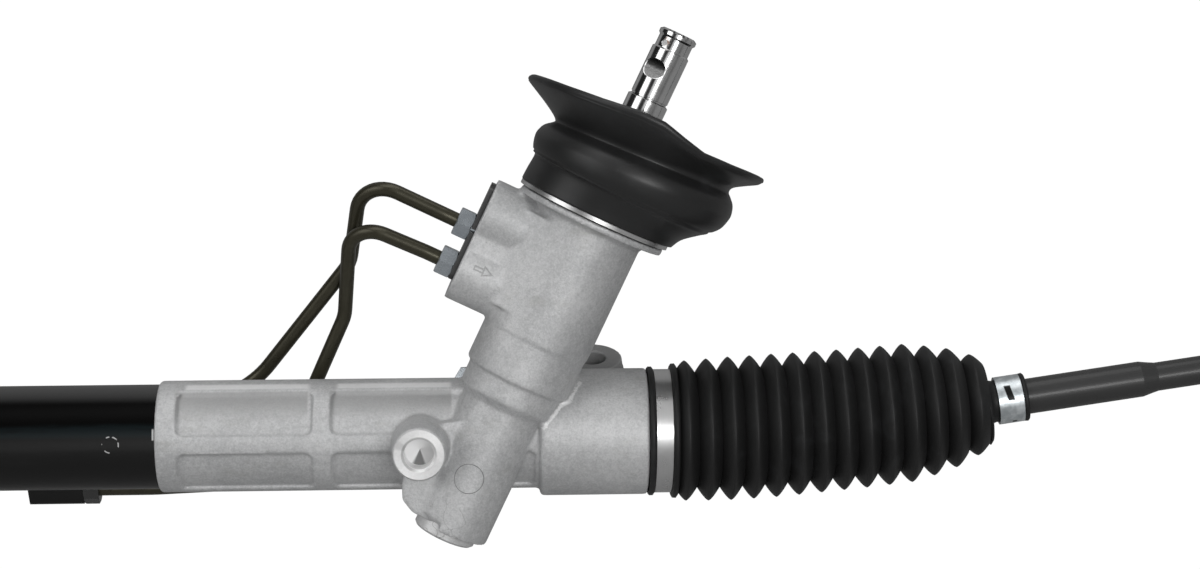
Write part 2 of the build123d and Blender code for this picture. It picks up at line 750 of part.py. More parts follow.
def piston():
    """Piston on the rack, with the groove for its sealing ring."""
    start = piston_x - piston_width / 2
    return turned(rack_frame, [
        (rack_radius - 0.8 + seat_gap, start), (tube_bore - 0.25, start), (tube_bore - 0.25, start + 4),
        (tube_bore - 2.2, start + 4), (tube_bore - 2.2, start + 8), (tube_bore - 0.25, start + 8),
        (tube_bore - 0.25, start + piston_width), (rack_radius - 0.8 + seat_gap, start + piston_width),
    ])


def yoke_pieces():
    """Yoke that presses the rack on the pinion, its spring, plug and lock nut."""
    end = yoke_front + yoke_length
    seat = end - yoke_recess_depth
    yoke = drum(back_frame, yoke_radius, yoke_front, end)
    yoke -= drum(rack_frame, rack_radius + running_gap, -yoke_radius - 1, yoke_radius + 1)
    yoke -= drum(back_frame, yoke_recess_radius, seat, end + 1)
    plug_start = end + 0.1
    floor = plug_start + 4
    plug_end = yoke_boss_end + 8
    plug = turned(back_frame, [
        (0, floor), (yoke_recess_radius, floor), (yoke_recess_radius, plug_start), (yoke_radius - 0.1, plug_start),
        (yoke_radius - 0.1, plug_end), (0, plug_end),
    ])
    plug -= place(back_frame) * Pos(0, 0, yoke_boss_end + 2) * extrude(RegularPolygon(yoke_plug_key, 6), 8)
    lock = hexagon(back_frame, yoke_nut_across_flats, yoke_boss_end, yoke_boss_end + yoke_nut_width, yoke_radius)
    height = floor - seat - 2 * yoke_wire_radius - 0.1
    helix = Helix(pitch=height / yoke_coil_turns, height=height, radius=yoke_coil_radius)
    section = Plane(helix @ 0, z_dir=helix % 0) * Circle(yoke_wire_radius)
    coil = sweep(section, path=helix, is_frenet=True)
    spring = place(back_frame) * Pos(0, 0, seat + yoke_wire_radius + 0.05) * coil
    return single(yoke), spring, single(plug), lock


# Cylinder tube

def cylinder_tube():
    """Cylinder tube with its spigot in the casting and the groove for the end ring."""
    end = casting_left + socket_depth - tube_end_gap
    body = turned(rack_frame, [
        (tube_bore, tube_left), (tube_radius - 0.6, tube_left), (tube_radius, tube_left + 0.6),
        (tube_radius, casting_left), (tube_spigot_radius, casting_left), (tube_spigot_radius, end),
        (tube_bore, end),
    ])
    body -= snap_groove(rack_frame, tube_bore, end_groove_x)
    return body


def tube_inserts():
    """Seals and bushes inside the tube."""
    bore = tube_bore - seat_gap
    way = rack_radius + running_gap
    start = inner_seal_x - seal_width
    seal = turned(rack_frame, [
        (way, start), (way + 1.4, start), (way + 1.8, start + 5), (bore - 1.8, start + 5), (bore - 1.4, start),
        (bore, start), (bore, inner_seal_x), (way, inner_seal_x),
    ])
    support = ring(rack_frame, bore, way + 0.2, inner_seal_x, inner_seal_x + support_width)
    bush_start = end_bush_x - end_bush_width
    bush = turned(rack_frame, [
        (way, bush_start), (bore, bush_start), (bore, end_bush_x), (way + 2.5, end_bush_x),
        (way + 2.5, end_bush_x - 7), (way, end_bush_x - 7),
    ])
    lip = ring(rack_frame, way + 2.5 - seat_gap, way, end_bush_x - 7, end_bush_x)
    snap = snap_ring(rack_frame, tube_bore, end_groove_x)
    return seal, support, bush, lip, snap


# Ball joints, tie rods and boots

def outward(x, side, rise=0.0):
    """Frame at a ball centre whose Z axis points out along the tie rod."""
    return upright * Pos(x, 0, 0) * Rot(0, side * (90 - rise), 0)


def ball_housing():
    """Inner ball joint housing with its threaded stud and two spanner flats."""
    mouth = radians(swing_limit * 1.4 + 36)
    lip = pocket_radius * cos(mouth)
    flare = pocket_radius * sin(mouth)
    body = turned(Plane.XY, [
        (0, -ball_to_rack_end - stud_depth + 2), (stud_radius - 1, -ball_to_rack_end - stud_depth + 2),
        (stud_radius, -ball_to_rack_end - stud_depth + 3), (stud_radius, -ball_to_rack_end),
        (ball_housing_radius - 1, -ball_to_rack_end), (ball_housing_radius, -ball_to_rack_end + 1),
        (ball_housing_radius, lip - 3), (flare + 2, lip + 1.2), (flare + 0.8, lip + 1.2), (flare, lip), (0, lip),
    ])
    body -= Sphere(pocket_radius)
    flats = Pos(0, 0, -ball_to_rack_end - 1) * extrude(
        Rectangle(80, 80) - Rectangle(80, 2 * ball_housing_radius - 4), 10)
    return single(body - flats)


def ball_seat():
    """Plastic seat between ball and housing, open to the rod."""
    mouth = radians(swing_limit + 38)
    body = Sphere(seat_outer) - Sphere(seat_radius)
    reach = seat_outer * 1.2
    return single(body - turned(Plane.XY, [(0, 0), (reach * tan(mouth), reach), (0, reach)]))


def tie_rod():
    """Tie rod with its ball, waisted shank and threaded end."""
    neck = rod_ball_neck_radius
    neck_height = sqrt(ball_radius ** 2 - neck ** 2)
    runout_start, runout_end = rod_runout_span
    rod = turned(Plane.XY, [
        (0, 0), (neck, neck_height - 1), (neck, neck_height + 6), (rod_radius, neck_height + 14),
        (rod_radius, rod_neck_start), (rod_neck_radius, rod_neck_start + 7),
        (rod_neck_radius, runout_start - 0.5), (rod_runout_radius, runout_start),
        (rod_runout_radius, runout_end), (rod_thread_radius, runout_end + 0.6),
        (rod_thread_radius, rod_length - 1), (rod_thread_radius - 1, rod_length), (0, rod_length),
    ])
    return single(rod + Sphere(ball_radius))


def boot_stations(cuff_radius, length):
    """Distance, outer radius and inner radius at each ring of a boot."""
    stations = [(0.0, cuff_radius), (boot_cuff_length, cuff_radius)]
    at = boot_cuff_length
    for crest in boot_crest_radii:
        for offset in (-boot_crest_half, boot_crest_half):
            stations.append((at + boot_pitch / 2 + offset, crest))
        at += boot_pitch
        stations.append((at, min(boot_valley_radius, crest - boot_fold_depth)))
    rings = [(distance, radius, radius - boot_wall) for distance, radius in stations]
    for distance in (length - boot_tail_length, length):
        rings.append((distance, boot_neck_radius, rod_radius + free_gap))
    return rings


def boot(start_x, ball_x, seat, rise, arch):
    """Bellows boot from its cuff on the housing to its tail on the tie rod."""
    side = 1 if ball_x > start_x else -1
    length = abs(ball_x - start_x) + boot_tail_reach * cos(radians(rise))
    curve_length = 2 * (abs(ball_x - start_x) - boot_cuff_length)
    fold_length = len(boot_crest_radii) * boot_pitch
    slope_end = tan(radians(rise))
    outer, inner = [], []
    for distance, radius, bore in boot_stations(seat + free_gap + boot_wall, length):
        past_cuff = max(0.0, distance - boot_cuff_length)
        along = min(past_cuff, curve_length)
        slope = slope_end * along / curve_length
        lift = slope * along / 2 + slope_end * (past_cuff - along)
        lift += arch * sin(pi * min(1.0, past_cuff / fold_length))
        lean_share = boot_lean_share if past_cuff <= fold_length + 1 else 1.0
        tilt = 90 - lean_share * degrees(atan(slope))
        frame = upright * Pos(start_x + side * distance, 0, lift) * Rot(0, side * tilt, 0)
        outer.append(frame * Circle(radius))
        inner.append(frame * Circle(bore))
    return single(loft(outer, ruled=True) - loft(inner, ruled=True))


def band(start_x, side, seat):
    """Flat steel band round a boot's cuff."""
    inner = seat + free_gap + boot_wall + seat_gap
    middle = start_x + side * boot_cuff_length * boot_band_share
    return ring(rack_frame, inner + band_thickness, inner, middle - boot_band_width / 2, middle + boot_band_width / 2)


def boot_clamp():
    """Small clamp round a boot's tail with its pinched ear."""
    inner = boot_neck_radius + free_gap
    start = boot_tail_reach - boot_tail_length / 2 - boot_clamp_width / 2
    body = ring(Plane.XY, inner + band_thickness, inner, start, start + boot_clamp_width)
    width, height, corner = clamp_ear_size
    ear = Pos(0, inner + height / 2 - 0.2, start) * extrude(RectangleRounded(width, height, corner), boot_clamp_width)
    ear -= drum(Plane.XY, inner + 0.2, start - 1, start + boot_clamp_width + 1)
    return single(body + ear)


# Dash seal

def seal_frame(share, radius, shift, rise):
    """Frame of one ring of the dash seal, tilting towards the rim."""
    height = seal_bottom + share * (seal_rim_height - seal_bottom)
    side_tilt = degrees(atan(rise / (2 * radius)))
    return place(pinion_frame) * Pos(shift, 0, height) * Rot(-seal_rim_tilt * share ** 2, -side_tilt, 0)


def dash_seal():
    """Rubber boot that closes the gap between the tower and the bulkhead."""
    frames = [seal_frame(*measures) for measures in seal_rings]
    radii = [measures[1] for measures in seal_rings]
    outer = [frame * Circle(radius) for frame, radius in zip(frames, radii)]
    inner = [frame * Circle(radius - seal_wall) for frame, radius in zip(frames, radii)]
    body = loft(outer, ruled=True) - loft(inner, ruled=True)
    body += ring(frames[-1], radii[-1], radii[-1] - seal_wall, -0.4, seal_rim_thickness)
    lip = seal_ring_inner - seat_gap
    foot = radii[0] - 1
    body += turned(pinion_frame, [
        (lip - seal_lip_width, flange_top), (lip, flange_top), (lip, seal_bottom), (foot, seal_bottom),
        (foot, seal_bottom + seal_wall), (lip - seal_lip_width, seal_bottom + seal_wall),
    ])
    return single(body)


# Pipes and their fittings

def pipe(route, bends, start, finish):
    """Steel pipe on straight runs and bends between two nuts."""
    points = [start] + list(route) + [finish]
    path = FilletPolyline(*points, radius=list(bends))
    section = Plane(path @ 0, z_dir=path % 0) * (Circle(pipe_radius) - Circle(pipe_radius - pipe_wall))
    return single(sweep(section, path=path))


def port_point(height, reach):
    """Point on a port's axis, measured out from the pinion axis."""
    return tuple((place(port_frame) * Pos(0, height, reach)).position)


def block_frame(index):
    """Frame of a tube port block: Z along the rack, Y pointing away from the tube."""
    return Location((0, 0, 0), (tube_port_turn[index], 0, 0)) * Pos(tube_port_x[index], 0, 0)


def block_axis(index):
    """Point where a pipe enters its port block."""
    level = tube_port_reach - tube_port_height / 2
    return block_frame(index) * Pos(tube_port_length / 2, level, 0)


def transfer_pipes():
    """The two pipes from the valve ports to the ends of the cylinder."""
    outer = port_face + port_plate_thickness
    pipes = []
    layouts = ((lower_pipe_route, lower_pipe_bends, lower_pipe_lead),
               (upper_pipe_route, upper_pipe_bends, upper_pipe_lead))
    for index, (route, bends, (lead_x, lead_bend)) in enumerate(layouts):
        start = port_point(port_heights[index], outer - nut_shank_length)
        entry = block_axis(index)
        finish = tuple(entry.position - Vector(nut_shank_length, 0, 0))
        first = port_point(port_heights[index], outer + nut_length + port_lead_in)
        last = (lead_x, entry.position.Y, entry.position.Z)
        pipes.append(pipe((first,) + route + (last,), (20.0,) + bends + (lead_bend,), start, finish))
    return pipes


def flare_nut(frame):
    """Flare nut with its shank, drawn from the seat face outwards along Z."""
    nut = hexagon(Plane.XY, nut_across_flats, free_gap / 3, nut_length, pipe_radius + seat_gap)
    nut += ring(Plane.XY, nut_shank_radius - running_gap, pipe_radius + seat_gap, -nut_shank_length, free_gap)
    return single(frame * nut)


def pipe_nuts():
    """The four flare nuts."""
    outer = port_face + port_plate_thickness
    nuts = [flare_nut(place(port_frame) * Pos(0, height, outer)) for height in port_heights]
    for index in (0, 1):
        nuts.append(flare_nut(block_axis(index) * Rot(0, 90, 0)))
    return nuts


def port_plate():
    """Strip plate on the port face with a hole for each nut."""
    low, high = port_plate_span
    outline = Pos(0, (low + high) / 2) * RectangleRounded(port_plate_width, high - low, 2.5)
    for height in port_heights:
        outline -= Pos(0, height) * Circle(nut_shank_radius + free_gap)
    notch_height, notch_width, notch_depth = plate_notch
    outline -= Pos(port_plate_width / 2, notch_height) * Rectangle(2 * notch_depth, notch_width)
    return single(place(port_frame) * Pos(0, 0, port_face) * extrude(outline, port_plate_thickness))


def tube_port_blocks():
    """Steel blocks brazed on the tube where the pipes enter it."""
    blocks = []
    for index in (0, 1):
        height = tube_port_reach - tube_radius + port_sink
        middle = tube_radius - port_sink + height / 2
        block = Pos(0, middle, 0) * Box(tube_port_length, height, tube_port_height)
        block = fillet(block.edges().filter_by(Axis.X), 2.5)
        block = block_frame(index) * block - drum(rack_frame, tube_radius + seat_gap, tube_left, casting_left)
        drilling = block_axis(index) * Rot(0, -90, 0) * extrude(Circle(nut_shank_radius), port_depth)
        block -= drilling
        blocks.append(single(block))
    return blocks


# Left mounting

def tube_bush():
    """Rubber bush round the tube with a flat foot."""
    outline = Circle(mount_inner) + Pos(0, -mount_drop / 2) * Rectangle(2 * mount_inner, mount_drop)
    outline -= Circle(tube_radius + seat_gap)
    return single(upright * Pos(mount_x - mount_width / 2, 0, 0) * Plane.YZ.location * extrude(outline, mount_width))


def tube_bracket():
    """Pressed saddle that clamps the bush down, with two bolt holes."""
    inner = mount_inner + seat_gap
    outer = inner + mount_strap
    outline = Circle(outer) + Pos(0, -mount_drop / 2) * Rectangle(2 * outer, mount_drop)
    reach = mount_foot_y + mount_foot_reach
    outline += Pos(0, -mount_drop + mount_strap / 2 + 0.5) * Rectangle(2 * reach, mount_strap + 1)
    outline -= Circle(inner) + Pos(0, -mount_drop / 2 - 1) * Rectangle(2 * inner, mount_drop + 2)
    body = Plane.YZ.location * extrude(outline, mount_width)
    for side in (-1, 1):
        body -= Pos(mount_width / 2, side * mount_foot_y, -mount_drop - 1) * extrude(Circle(mount_hole_radius), 8)
    corners = body.edges().filter_by(Axis.Z).group_by(lambda edge: round(abs(edge.center().Y), 1))[-1]
    body = fillet(corners, 6)
    return single(upright * Pos(mount_x - mount_width / 2, 0, 0) * body)


# Small closing pieces

def lower_cap():
    """Cap screwed into the foot of the tower below the bearing."""
    radius = bearing_outer_radius - running_gap
    top = bearing_top - bearing_width - 0.1
    return turned(pinion_frame, [
        (0, tower_foot - lower_cap_drop), (radius - 1, tower_foot - lower_cap_drop),
        (radius, tower_foot - lower_cap_drop + 1), (radius, top),
        (bearing_outer_radius - 2.5, top), (bearing_outer_radius - 2.5, tower_foot - 2), (0, tower_foot - 2),
    ])


def shaft_sealing():
    """Upper bearing, lip seal and snap ring round the input shaft."""
    way = input_radius + running_gap
    low, high = shaft_bearing_span
    bearing = ring(pinion_frame, valve_bore - seat_gap, way, low, high)
    base, top = shaft_seal_span
    seal = turned(pinion_frame, [
        (way, base), (way + 1.2, base), (way + 2, base + 2), (valve_bore - 2, base + 2),
        (valve_bore - 1.4, base), (valve_bore - seat_gap, base), (valve_bore - seat_gap, top), (way, top),
    ])
    snap = snap_ring(pinion_frame, valve_bore, tower_groove_height)
    return bearing, seal, snap


os.makedirs("parts", exist_ok=True)
right_start = barrel_end + free_gap
left_start = tube_left + boot_cuff_length + 1
inner_race, outer_race, bearing_balls = bearing_pieces()
yoke, yoke_spring, yoke_plug, yoke_lock_nut = yoke_pieces()
inner_seal, seal_support, end_bush, end_seal, end_ring = tube_inserts()
shaft_bearing, shaft_seal, tower_ring = shaft_sealing()
lower_pipe, upper_pipe = transfer_pipes()
right_rod = outward(right_ball_x, 1, right_rod_rise)
left_rod = outward(left_ball_x, -1)
low_bush, high_bush = upper_bush_span
bearing_bottom = bearing_top - bearing_width

save("rack_housing", rack_housing())
save("cylinder_tube", cylinder_tube())
save("tube_port_blocks", tube_port_blocks())
save("lower_transfer_pipe", lower_pipe)
save("upper_transfer_pipe", upper_pipe)
save("pipe_nuts", pipe_nuts())
save("port_plate", port_plate())
save("dash_seal", dash_seal())
save("dash_seal_ring", ring(pinion_frame, seal_ring_outer, seal_ring_inner, *seal_ring_span))
save("right_boot", boot(right_start, right_ball_x, spigot_radius, right_rod_rise, boot_arch))
save("left_boot", boot(left_start, left_ball_x, tube_radius, 0.0, 0.0))
save("right_boot_band", band(right_start, 1, spigot_radius))
save("left_boot_band", band(left_start, -1, tube_radius))
save("tube_mount_bush", tube_bush())
save("tube_mount_bracket", tube_bracket())
save("tube_end_bush", end_bush)
save("tube_end_seal", end_seal)
save("tube_end_ring", end_ring)
save("inner_rack_seal", inner_seal)
save("inner_seal_support", seal_support)
save("rack_yoke", yoke)
save("yoke_spring", yoke_spring)
save("yoke_adjuster", yoke_plug)
save("yoke_lock_nut", yoke_lock_nut)
save("pinion_bearing_outer", outer_race)
save("pinion_bearing_balls", bearing_balls)
save("pinion_bush", ring(pinion_frame, upper_bush_radius, upper_journal_radius + running_gap, low_bush, high_bush))
save("lower_cap", lower_cap())
save("shaft_bearing", shaft_bearing)
save("shaft_seal", shaft_seal)
save("tower_snap_ring", tower_ring)

save("pinion", pinion())
save("pinion_bearing_inner", inner_race)
save("pinion_nut", hexagon(
    pinion_frame, pinion_nut_across_flats, bearing_bottom - pinion_nut_width, bearing_bottom,
    journal_radius - 1 + seat_gap))
save("valve_sleeve", valve_sleeve())
save("valve_sleeve_rings", sleeve_rings())

save("input_shaft", input_shaft())
save("torsion_bar", torsion_bar())
save("torsion_bar_pin", cross_pin())

save("rack_bar", rack_bar())
save("piston", piston())
save("piston_ring", ring(rack_frame, tube_bore - running_gap, tube_bore - 2.15, piston_x - 1.95, piston_x + 1.95))
save("right_ball_housing", outward(right_ball_x, 1) * ball_housing())
save("left_ball_housing", outward(left_ball_x, -1) * ball_housing())

save("right_ball_seat", right_rod * ball_seat())
save("left_ball_seat", left_rod * ball_seat())
save("right_tie_rod", right_rod * tie_rod())
save("left_tie_rod", left_rod * tie_rod())
jam_nut_end = jam_nut_start + jam_nut_width
jam_nut = hexagon(Plane.XY, jam_nut_across_flats, jam_nut_start, jam_nut_end, rod_runout_radius + seat_gap)
save("right_jam_nut", right_rod * jam_nut)
save("left_jam_nut", left_rod * jam_nut)
save("right_boot_clamp", right_rod * boot_clamp())
save("left_boot_clamp", left_rod * boot_clamp())
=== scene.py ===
# %% [markdown]
# # A steering rack, dressed for its picture
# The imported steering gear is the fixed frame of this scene. Everything here is a finish for its
# pieces or a finer mesh laid where a plain one is. Lengths are in metres, in the frame's own axes:
# +X along the rack, +Y to the back, +Z up.

# %% Load the frame
import bmesh
import bpy
import json
import math
from mathutils import Matrix, Quaternion, Vector


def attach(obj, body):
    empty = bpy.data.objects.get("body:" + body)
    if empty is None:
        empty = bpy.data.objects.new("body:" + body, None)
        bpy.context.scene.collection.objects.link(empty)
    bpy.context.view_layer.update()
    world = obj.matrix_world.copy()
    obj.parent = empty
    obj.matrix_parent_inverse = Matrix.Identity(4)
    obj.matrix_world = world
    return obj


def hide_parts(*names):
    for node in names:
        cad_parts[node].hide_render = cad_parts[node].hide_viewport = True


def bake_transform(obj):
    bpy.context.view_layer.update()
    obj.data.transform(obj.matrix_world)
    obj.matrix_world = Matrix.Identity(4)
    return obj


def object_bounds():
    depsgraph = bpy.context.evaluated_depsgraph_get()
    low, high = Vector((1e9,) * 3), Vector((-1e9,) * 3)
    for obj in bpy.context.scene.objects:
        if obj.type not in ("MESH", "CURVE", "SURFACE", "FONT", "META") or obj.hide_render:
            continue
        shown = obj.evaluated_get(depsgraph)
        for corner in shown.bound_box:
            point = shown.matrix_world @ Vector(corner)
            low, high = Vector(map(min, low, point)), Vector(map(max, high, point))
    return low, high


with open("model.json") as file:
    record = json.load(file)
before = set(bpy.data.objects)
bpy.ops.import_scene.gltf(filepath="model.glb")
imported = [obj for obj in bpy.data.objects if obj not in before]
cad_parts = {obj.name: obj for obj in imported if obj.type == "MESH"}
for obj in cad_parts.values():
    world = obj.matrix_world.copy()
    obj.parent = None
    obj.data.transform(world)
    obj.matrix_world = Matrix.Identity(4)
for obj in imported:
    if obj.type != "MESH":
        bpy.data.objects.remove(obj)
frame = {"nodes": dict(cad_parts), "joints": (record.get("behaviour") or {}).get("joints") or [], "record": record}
cad_box = [list(corner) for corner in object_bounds()]
nodes = frame["nodes"]
joints = {joint["name"]: joint for joint in frame["joints"]}
mounts = {mount["name"]: mount for mount in frame["record"]["mounts"]}
MM = 0.001
print("nodes", len(nodes), "box", cad_box)

# %% [markdown]
# ## Places taken from the frame
# The pinion axis and the right ball's centre come from the joints. With them a point can be given
# as a drawing gives it: a height up the pinion axis and a distance out from it.

# %% Axes of the steering gear
pinion_foot = Vector(joints["pinion_spin"]["pos_m"])
pinion_up = Vector(joints["pinion_spin"]["axis"]).normalized()
right_ball = Vector(joints["right_swing"]["pos_m"])
casting_back = -Vector(mounts["front_boss_hole"]["axis"]).normalized()
pinion_side = casting_back.cross(pinion_up).normalized()
along_x = Vector((1, 0, 0))
casting_up = along_x.cross(casting_back).normalized()
rack_middle = Vector((pinion_foot.x, right_ball.y, right_ball.z))


def on_pinion(side, back, height):
    """Point by millimetres to the pinion's right, to the back, and up its axis."""
    return pinion_foot + (pinion_side * side + casting_back * back + pinion_up * height) * MM


def on_rack(along, back, up):
    """Point by millimetres along the rack from the pinion, to the back, and up."""
    return rack_middle + (along_x * along + casting_back * back + casting_up * up) * MM


def on_row(along, up):
    """Point by millimetres along the rack from the pinion and straight up."""
    return rack_middle + Vector((along, 0, up)) * MM


print("pinion axis", pinion_up, "side", pinion_side)

# %% [markdown]
# ## The camera
# A long lens far away keeps the rack's barrel almost parallel, as in a catalogue picture. The angles
# are the ones at which the tower, the flange and the barrel line up with the photograph. Two fixed
# directions, up the picture and out of it, help to place marks that were read off the photograph.

# %% Camera
view_azimuth = math.radians(-2.69)
view_elevation = math.radians(25.19)
view_roll = math.radians(0.62)
view_distance = 1.044
view_target = Vector((0.0029, -0.01495, 0.07775))
level, fall = math.cos(view_elevation), math.sin(view_elevation)
forward = Vector((-math.sin(view_azimuth) * level, math.cos(view_azimuth) * level, -fall))
camera_data = bpy.data.cameras.new("photo_camera")
camera_data.lens = 70.5
camera_data.sensor_width = 36
camera_data.clip_end = 50
camera = bpy.data.objects.new("photo_camera", camera_data)
bpy.context.scene.collection.objects.link(camera)
camera.rotation_mode = "QUATERNION"
camera.rotation_quaternion = forward.to_track_quat("-Z", "Y") @ Quaternion((0, 0, 1), view_roll)
camera.location = view_target - forward * view_distance
bpy.context.scene.camera = camera
seen_up = Vector((0, fall, level))
towards = Vector((0, -level, fall))
print("camera at", camera.location)

# %% [markdown]
# ## Shader sums written as Python
# A material is a graph of small nodes. Wrapping a socket in a class with + and * lets a mask be
# written as a formula, and one method makes every other kind of node.

# %% Values in a material
class Value:
    """A number, colour or vector on its way through a material."""

    def __init__(self, finish, socket):
        self.finish = finish
        self.socket = socket

    def sum(self, operation, first, second=0.0):
        return self.finish.node("ShaderNodeMath", {"operation": operation}, {0: first, 1: second})

    def __add__(self, other):
        return self.sum("ADD", self, other)

    __radd__ = __add__

    def __sub__(self, other):
        return self.sum("SUBTRACT", self, other)

    def __rsub__(self, other):
        return self.sum("SUBTRACT", other, self)

    def __mul__(self, other):
        return self.sum("MULTIPLY", self, other)

    def absolute(self):
        return self.sum("ABSOLUTE", self)

    def sine(self):
        return self.sum("SINE", self)

    def least(self, other):
        return self.sum("MINIMUM", self, other)

    def most(self, other):
        return self.sum("MAXIMUM", self, other)

    def with_side(self, other):
        """Length of the diagonal over two distances at right angles."""
        return self.sum("POWER", self * self + other * other, 0.5)

    def turn(self, across):
        """Angle of a point this far over and another distance across."""
        return self.sum("ARCTAN2", self, across)

    def above(self, low, high):
        """0 below low, 1 above high, and smooth between."""
        return self.finish.node("ShaderNodeMapRange", {"interpolation_type": "SMOOTHSTEP"},
                                {"Value": self, "From Min": low, "From Max": high})

    def below(self, low, high):
        """1 below low, 0 above high, and smooth between."""
        return 1 - self.above(low, high)

    def near(self, centre, full, gone):
        """1 within one distance of a centre, 0 beyond another, and smooth between."""
        return (self - centre).absolute().below(full, gone)


print("values ready")

# %% A finish and its shader
class Finish:
    """A material built round one Principled shader."""

    def __init__(self, name, **constants):
        self.material = bpy.data.materials.new(name)
        self.material.use_nodes = True
        self.tree = self.material.node_tree
        self.shader = self.tree.nodes["Principled BSDF"]
        self.set(**constants)
        self.place = self.node("ShaderNodeTexCoord", out="Object")

    def node(self, kind, settings=None, inputs=None, out=0):
        """Adds a node: settings first, then values or links for its sockets."""
        made = self.tree.nodes.new(kind)
        for key, value in (settings or {}).items():
            setattr(made, key, value)
        for key, value in (inputs or {}).items():
            self.feed(made.inputs[key], value)
        return Value(self, made.outputs[out])

    def feed(self, socket, value):
        """Links a Value to a socket, or sets the socket to a plain value."""
        if isinstance(value, Value):
            self.tree.links.new(value.socket, socket)
        else:
            socket.default_value = value

    def set(self, **values):
        """Links or sets sockets of the shader."""
        for name, value in values.items():
            self.feed(self.shader.inputs[name.replace("_", " ")], value)

    def noise(self, scale, detail=2.0, roughness=0.5, place=None):
        """Noise with features of about 1/scale metres."""
        return self.node("ShaderNodeTexNoise", {}, {
            "Vector": place or self.place, "Scale": scale, "Detail": detail, "Roughness": roughness})

    def stretched(self, scale_x, scale_y, scale_z):
        """Object coordinates scaled apart along the axes."""
        scales = (scale_x, scale_y, scale_z)
        return self.node("ShaderNodeMapping", {}, {"Vector": self.place, "Scale": scales})

    def distance(self, point):
        """Millimetres from a point of the frame."""
        metres = self.node("ShaderNodeVectorMath", {"operation": "DISTANCE"},
                           {0: self.place, 1: tuple(point)}, out="Value")
        return metres * 1000

    def along(self, axis, origin):
        """Millimetres along an axis from a point of the frame."""
        reach = self.node("ShaderNodeVectorMath", {"operation": "DOT_PRODUCT"},
                          {0: self.place, 1: tuple(axis)}, out="Value")
        return (reach - origin.dot(axis)) * 1000

    def stroke(self, across, over, start, end, width):
        """1 on a straight stroke between two points of a plane, in millimetres."""
        length = math.dist(start, end)
        run, climb = (end[0] - start[0]) / length, (end[1] - start[1]) / length
        reach = (across - start[0]) * run + (over - start[1]) * climb
        aside = ((across - start[0]) * climb - (over - start[1]) * run).absolute()
        return aside.most((reach - length / 2).absolute() - length / 2).below(width * 0.4, width)

    def mix(self, factor, first, second):
        """Colour between two colours."""
        return self.node("ShaderNodeMix", {"data_type": "RGBA"}, {0: factor, 6: first, 7: second}, out=2)

    def bump(self, height, strength, distance):
        """Normal from a height."""
        return self.node("ShaderNodeBump", {}, {
            "Height": height, "Strength": strength, "Distance": distance})


def grey(level, warm=0.0):
    """Neutral colour with a little warmth or coolness."""
    return (level * (1 + warm), level, level * (1 - warm), 1)


materials = {}
print("shader helpers ready")

# %% [markdown]
# ## Traces of the die, with painted light and shade
# A die casting shows how it was made: the round print of an ejector pin, a small flow arrow beside
# the ports, and ragged flash where two slides of the die met. The ring groove and the arrow outline
# are painted dark as painted shade. An inspector's pen has scribbled on the foot. The mounting lug is
# painted dark as painted shade, and the two pockets in the barrel get a painted highlight along their
# upper edges and painted shade on their floors. Each mark is a mask made of distances, so it stays
# sharp at any zoom.

# %% Traces of the die, with painted light and shade
ejector_mark = on_rack(-8.3, -34, -14.0)
arrow_height = 67.5
flash_path = ((24.0, 3.6), (32.2, 13.2), (35.5, 14.6), (40.2, 22.4))
flash_widths = (1.1, 1.4, 0.8)
pen_along, pen_up = -19, -33


def ejector_ring(finish):
    """Thin round groove left by the ejector pin."""
    radius = finish.distance(ejector_mark)
    return radius.above(6.15, 6.35) * radius.below(6.45, 6.65)


def arrow_mark(finish):
    """Outline of the small flow arrow cast beside the pipe ports."""
    side = finish.along(pinion_side, pinion_foot)
    half = (finish.along(pinion_up, pinion_foot) - arrow_height).absolute()
    shaft = ((side + 35.6).absolute() - 2.1).most(half - 0.8)
    head = (side * -1 - 33.5).most(half + (side + 29.5) * 0.5)
    line = shaft.least(head).absolute().below(0.2, 0.42)
    return line * finish.along(casting_back, pinion_foot).below(-9, -7)


def flash_line(finish, along, seen):
    """Ragged flash down the joint of the tower and the right barrel."""
    ragged = along + (finish.noise(380, 3, 0.7) - 0.5) * 4
    strokes = [finish.stroke(ragged, seen, start, end, width)
               for start, end, width in zip(flash_path, flash_path[1:], flash_widths)]
    return strokes[0].most(strokes[1]).most(strokes[2])


def pen_scribble(finish, along):
    """Thin loops of a pen on the front of the foot."""
    up = finish.along(casting_up, rack_middle)
    loops = finish.noise(120, 1, 0.4).near(0.5, 0.004, 0.010)
    patch = (along - pen_along).with_side(up - pen_up).below(8, 12)
    return loops * patch * finish.along(casting_back, rack_middle).below(-6, -2)


def lug_shade(finish):
    """Painted shade over the mounting lug behind the right barrel."""
    place = Vector(mounts["pinion_side_mount"]["pos_m"])
    back = finish.along(Vector((0, 1, 0)), place)
    return finish.along(along_x, place).with_side(back).below(15.5, 17.0) * back.above(-15, -13)


def pocket_light(finish, along, seen):
    """Masks of the painted highlight on the upper edges and of the painted shade on the floors of the two die
    pockets.
    """
    facing = finish.along(towards, rack_middle).above(0, 2)
    edges = along.near(-104.9, 25.5, 28.2).most(along.near(-40.9, 23.5, 26.2))
    floors = along.near(-107.0, 28.0, 29.4).most(along.near(-42.3, 25.8, 27.2))
    # Painted highlight along the upper edges of the pockets.
    rail_highlight = edges * facing * seen.near(21.9, 0.5, 1.5)
    # Painted shade on the pocket floors.
    painted_shade = floors * facing * seen.above(6, 15) * seen.below(19.4, 20.4)
    return facing, rail_highlight, painted_shade


print("traces of the die ready")
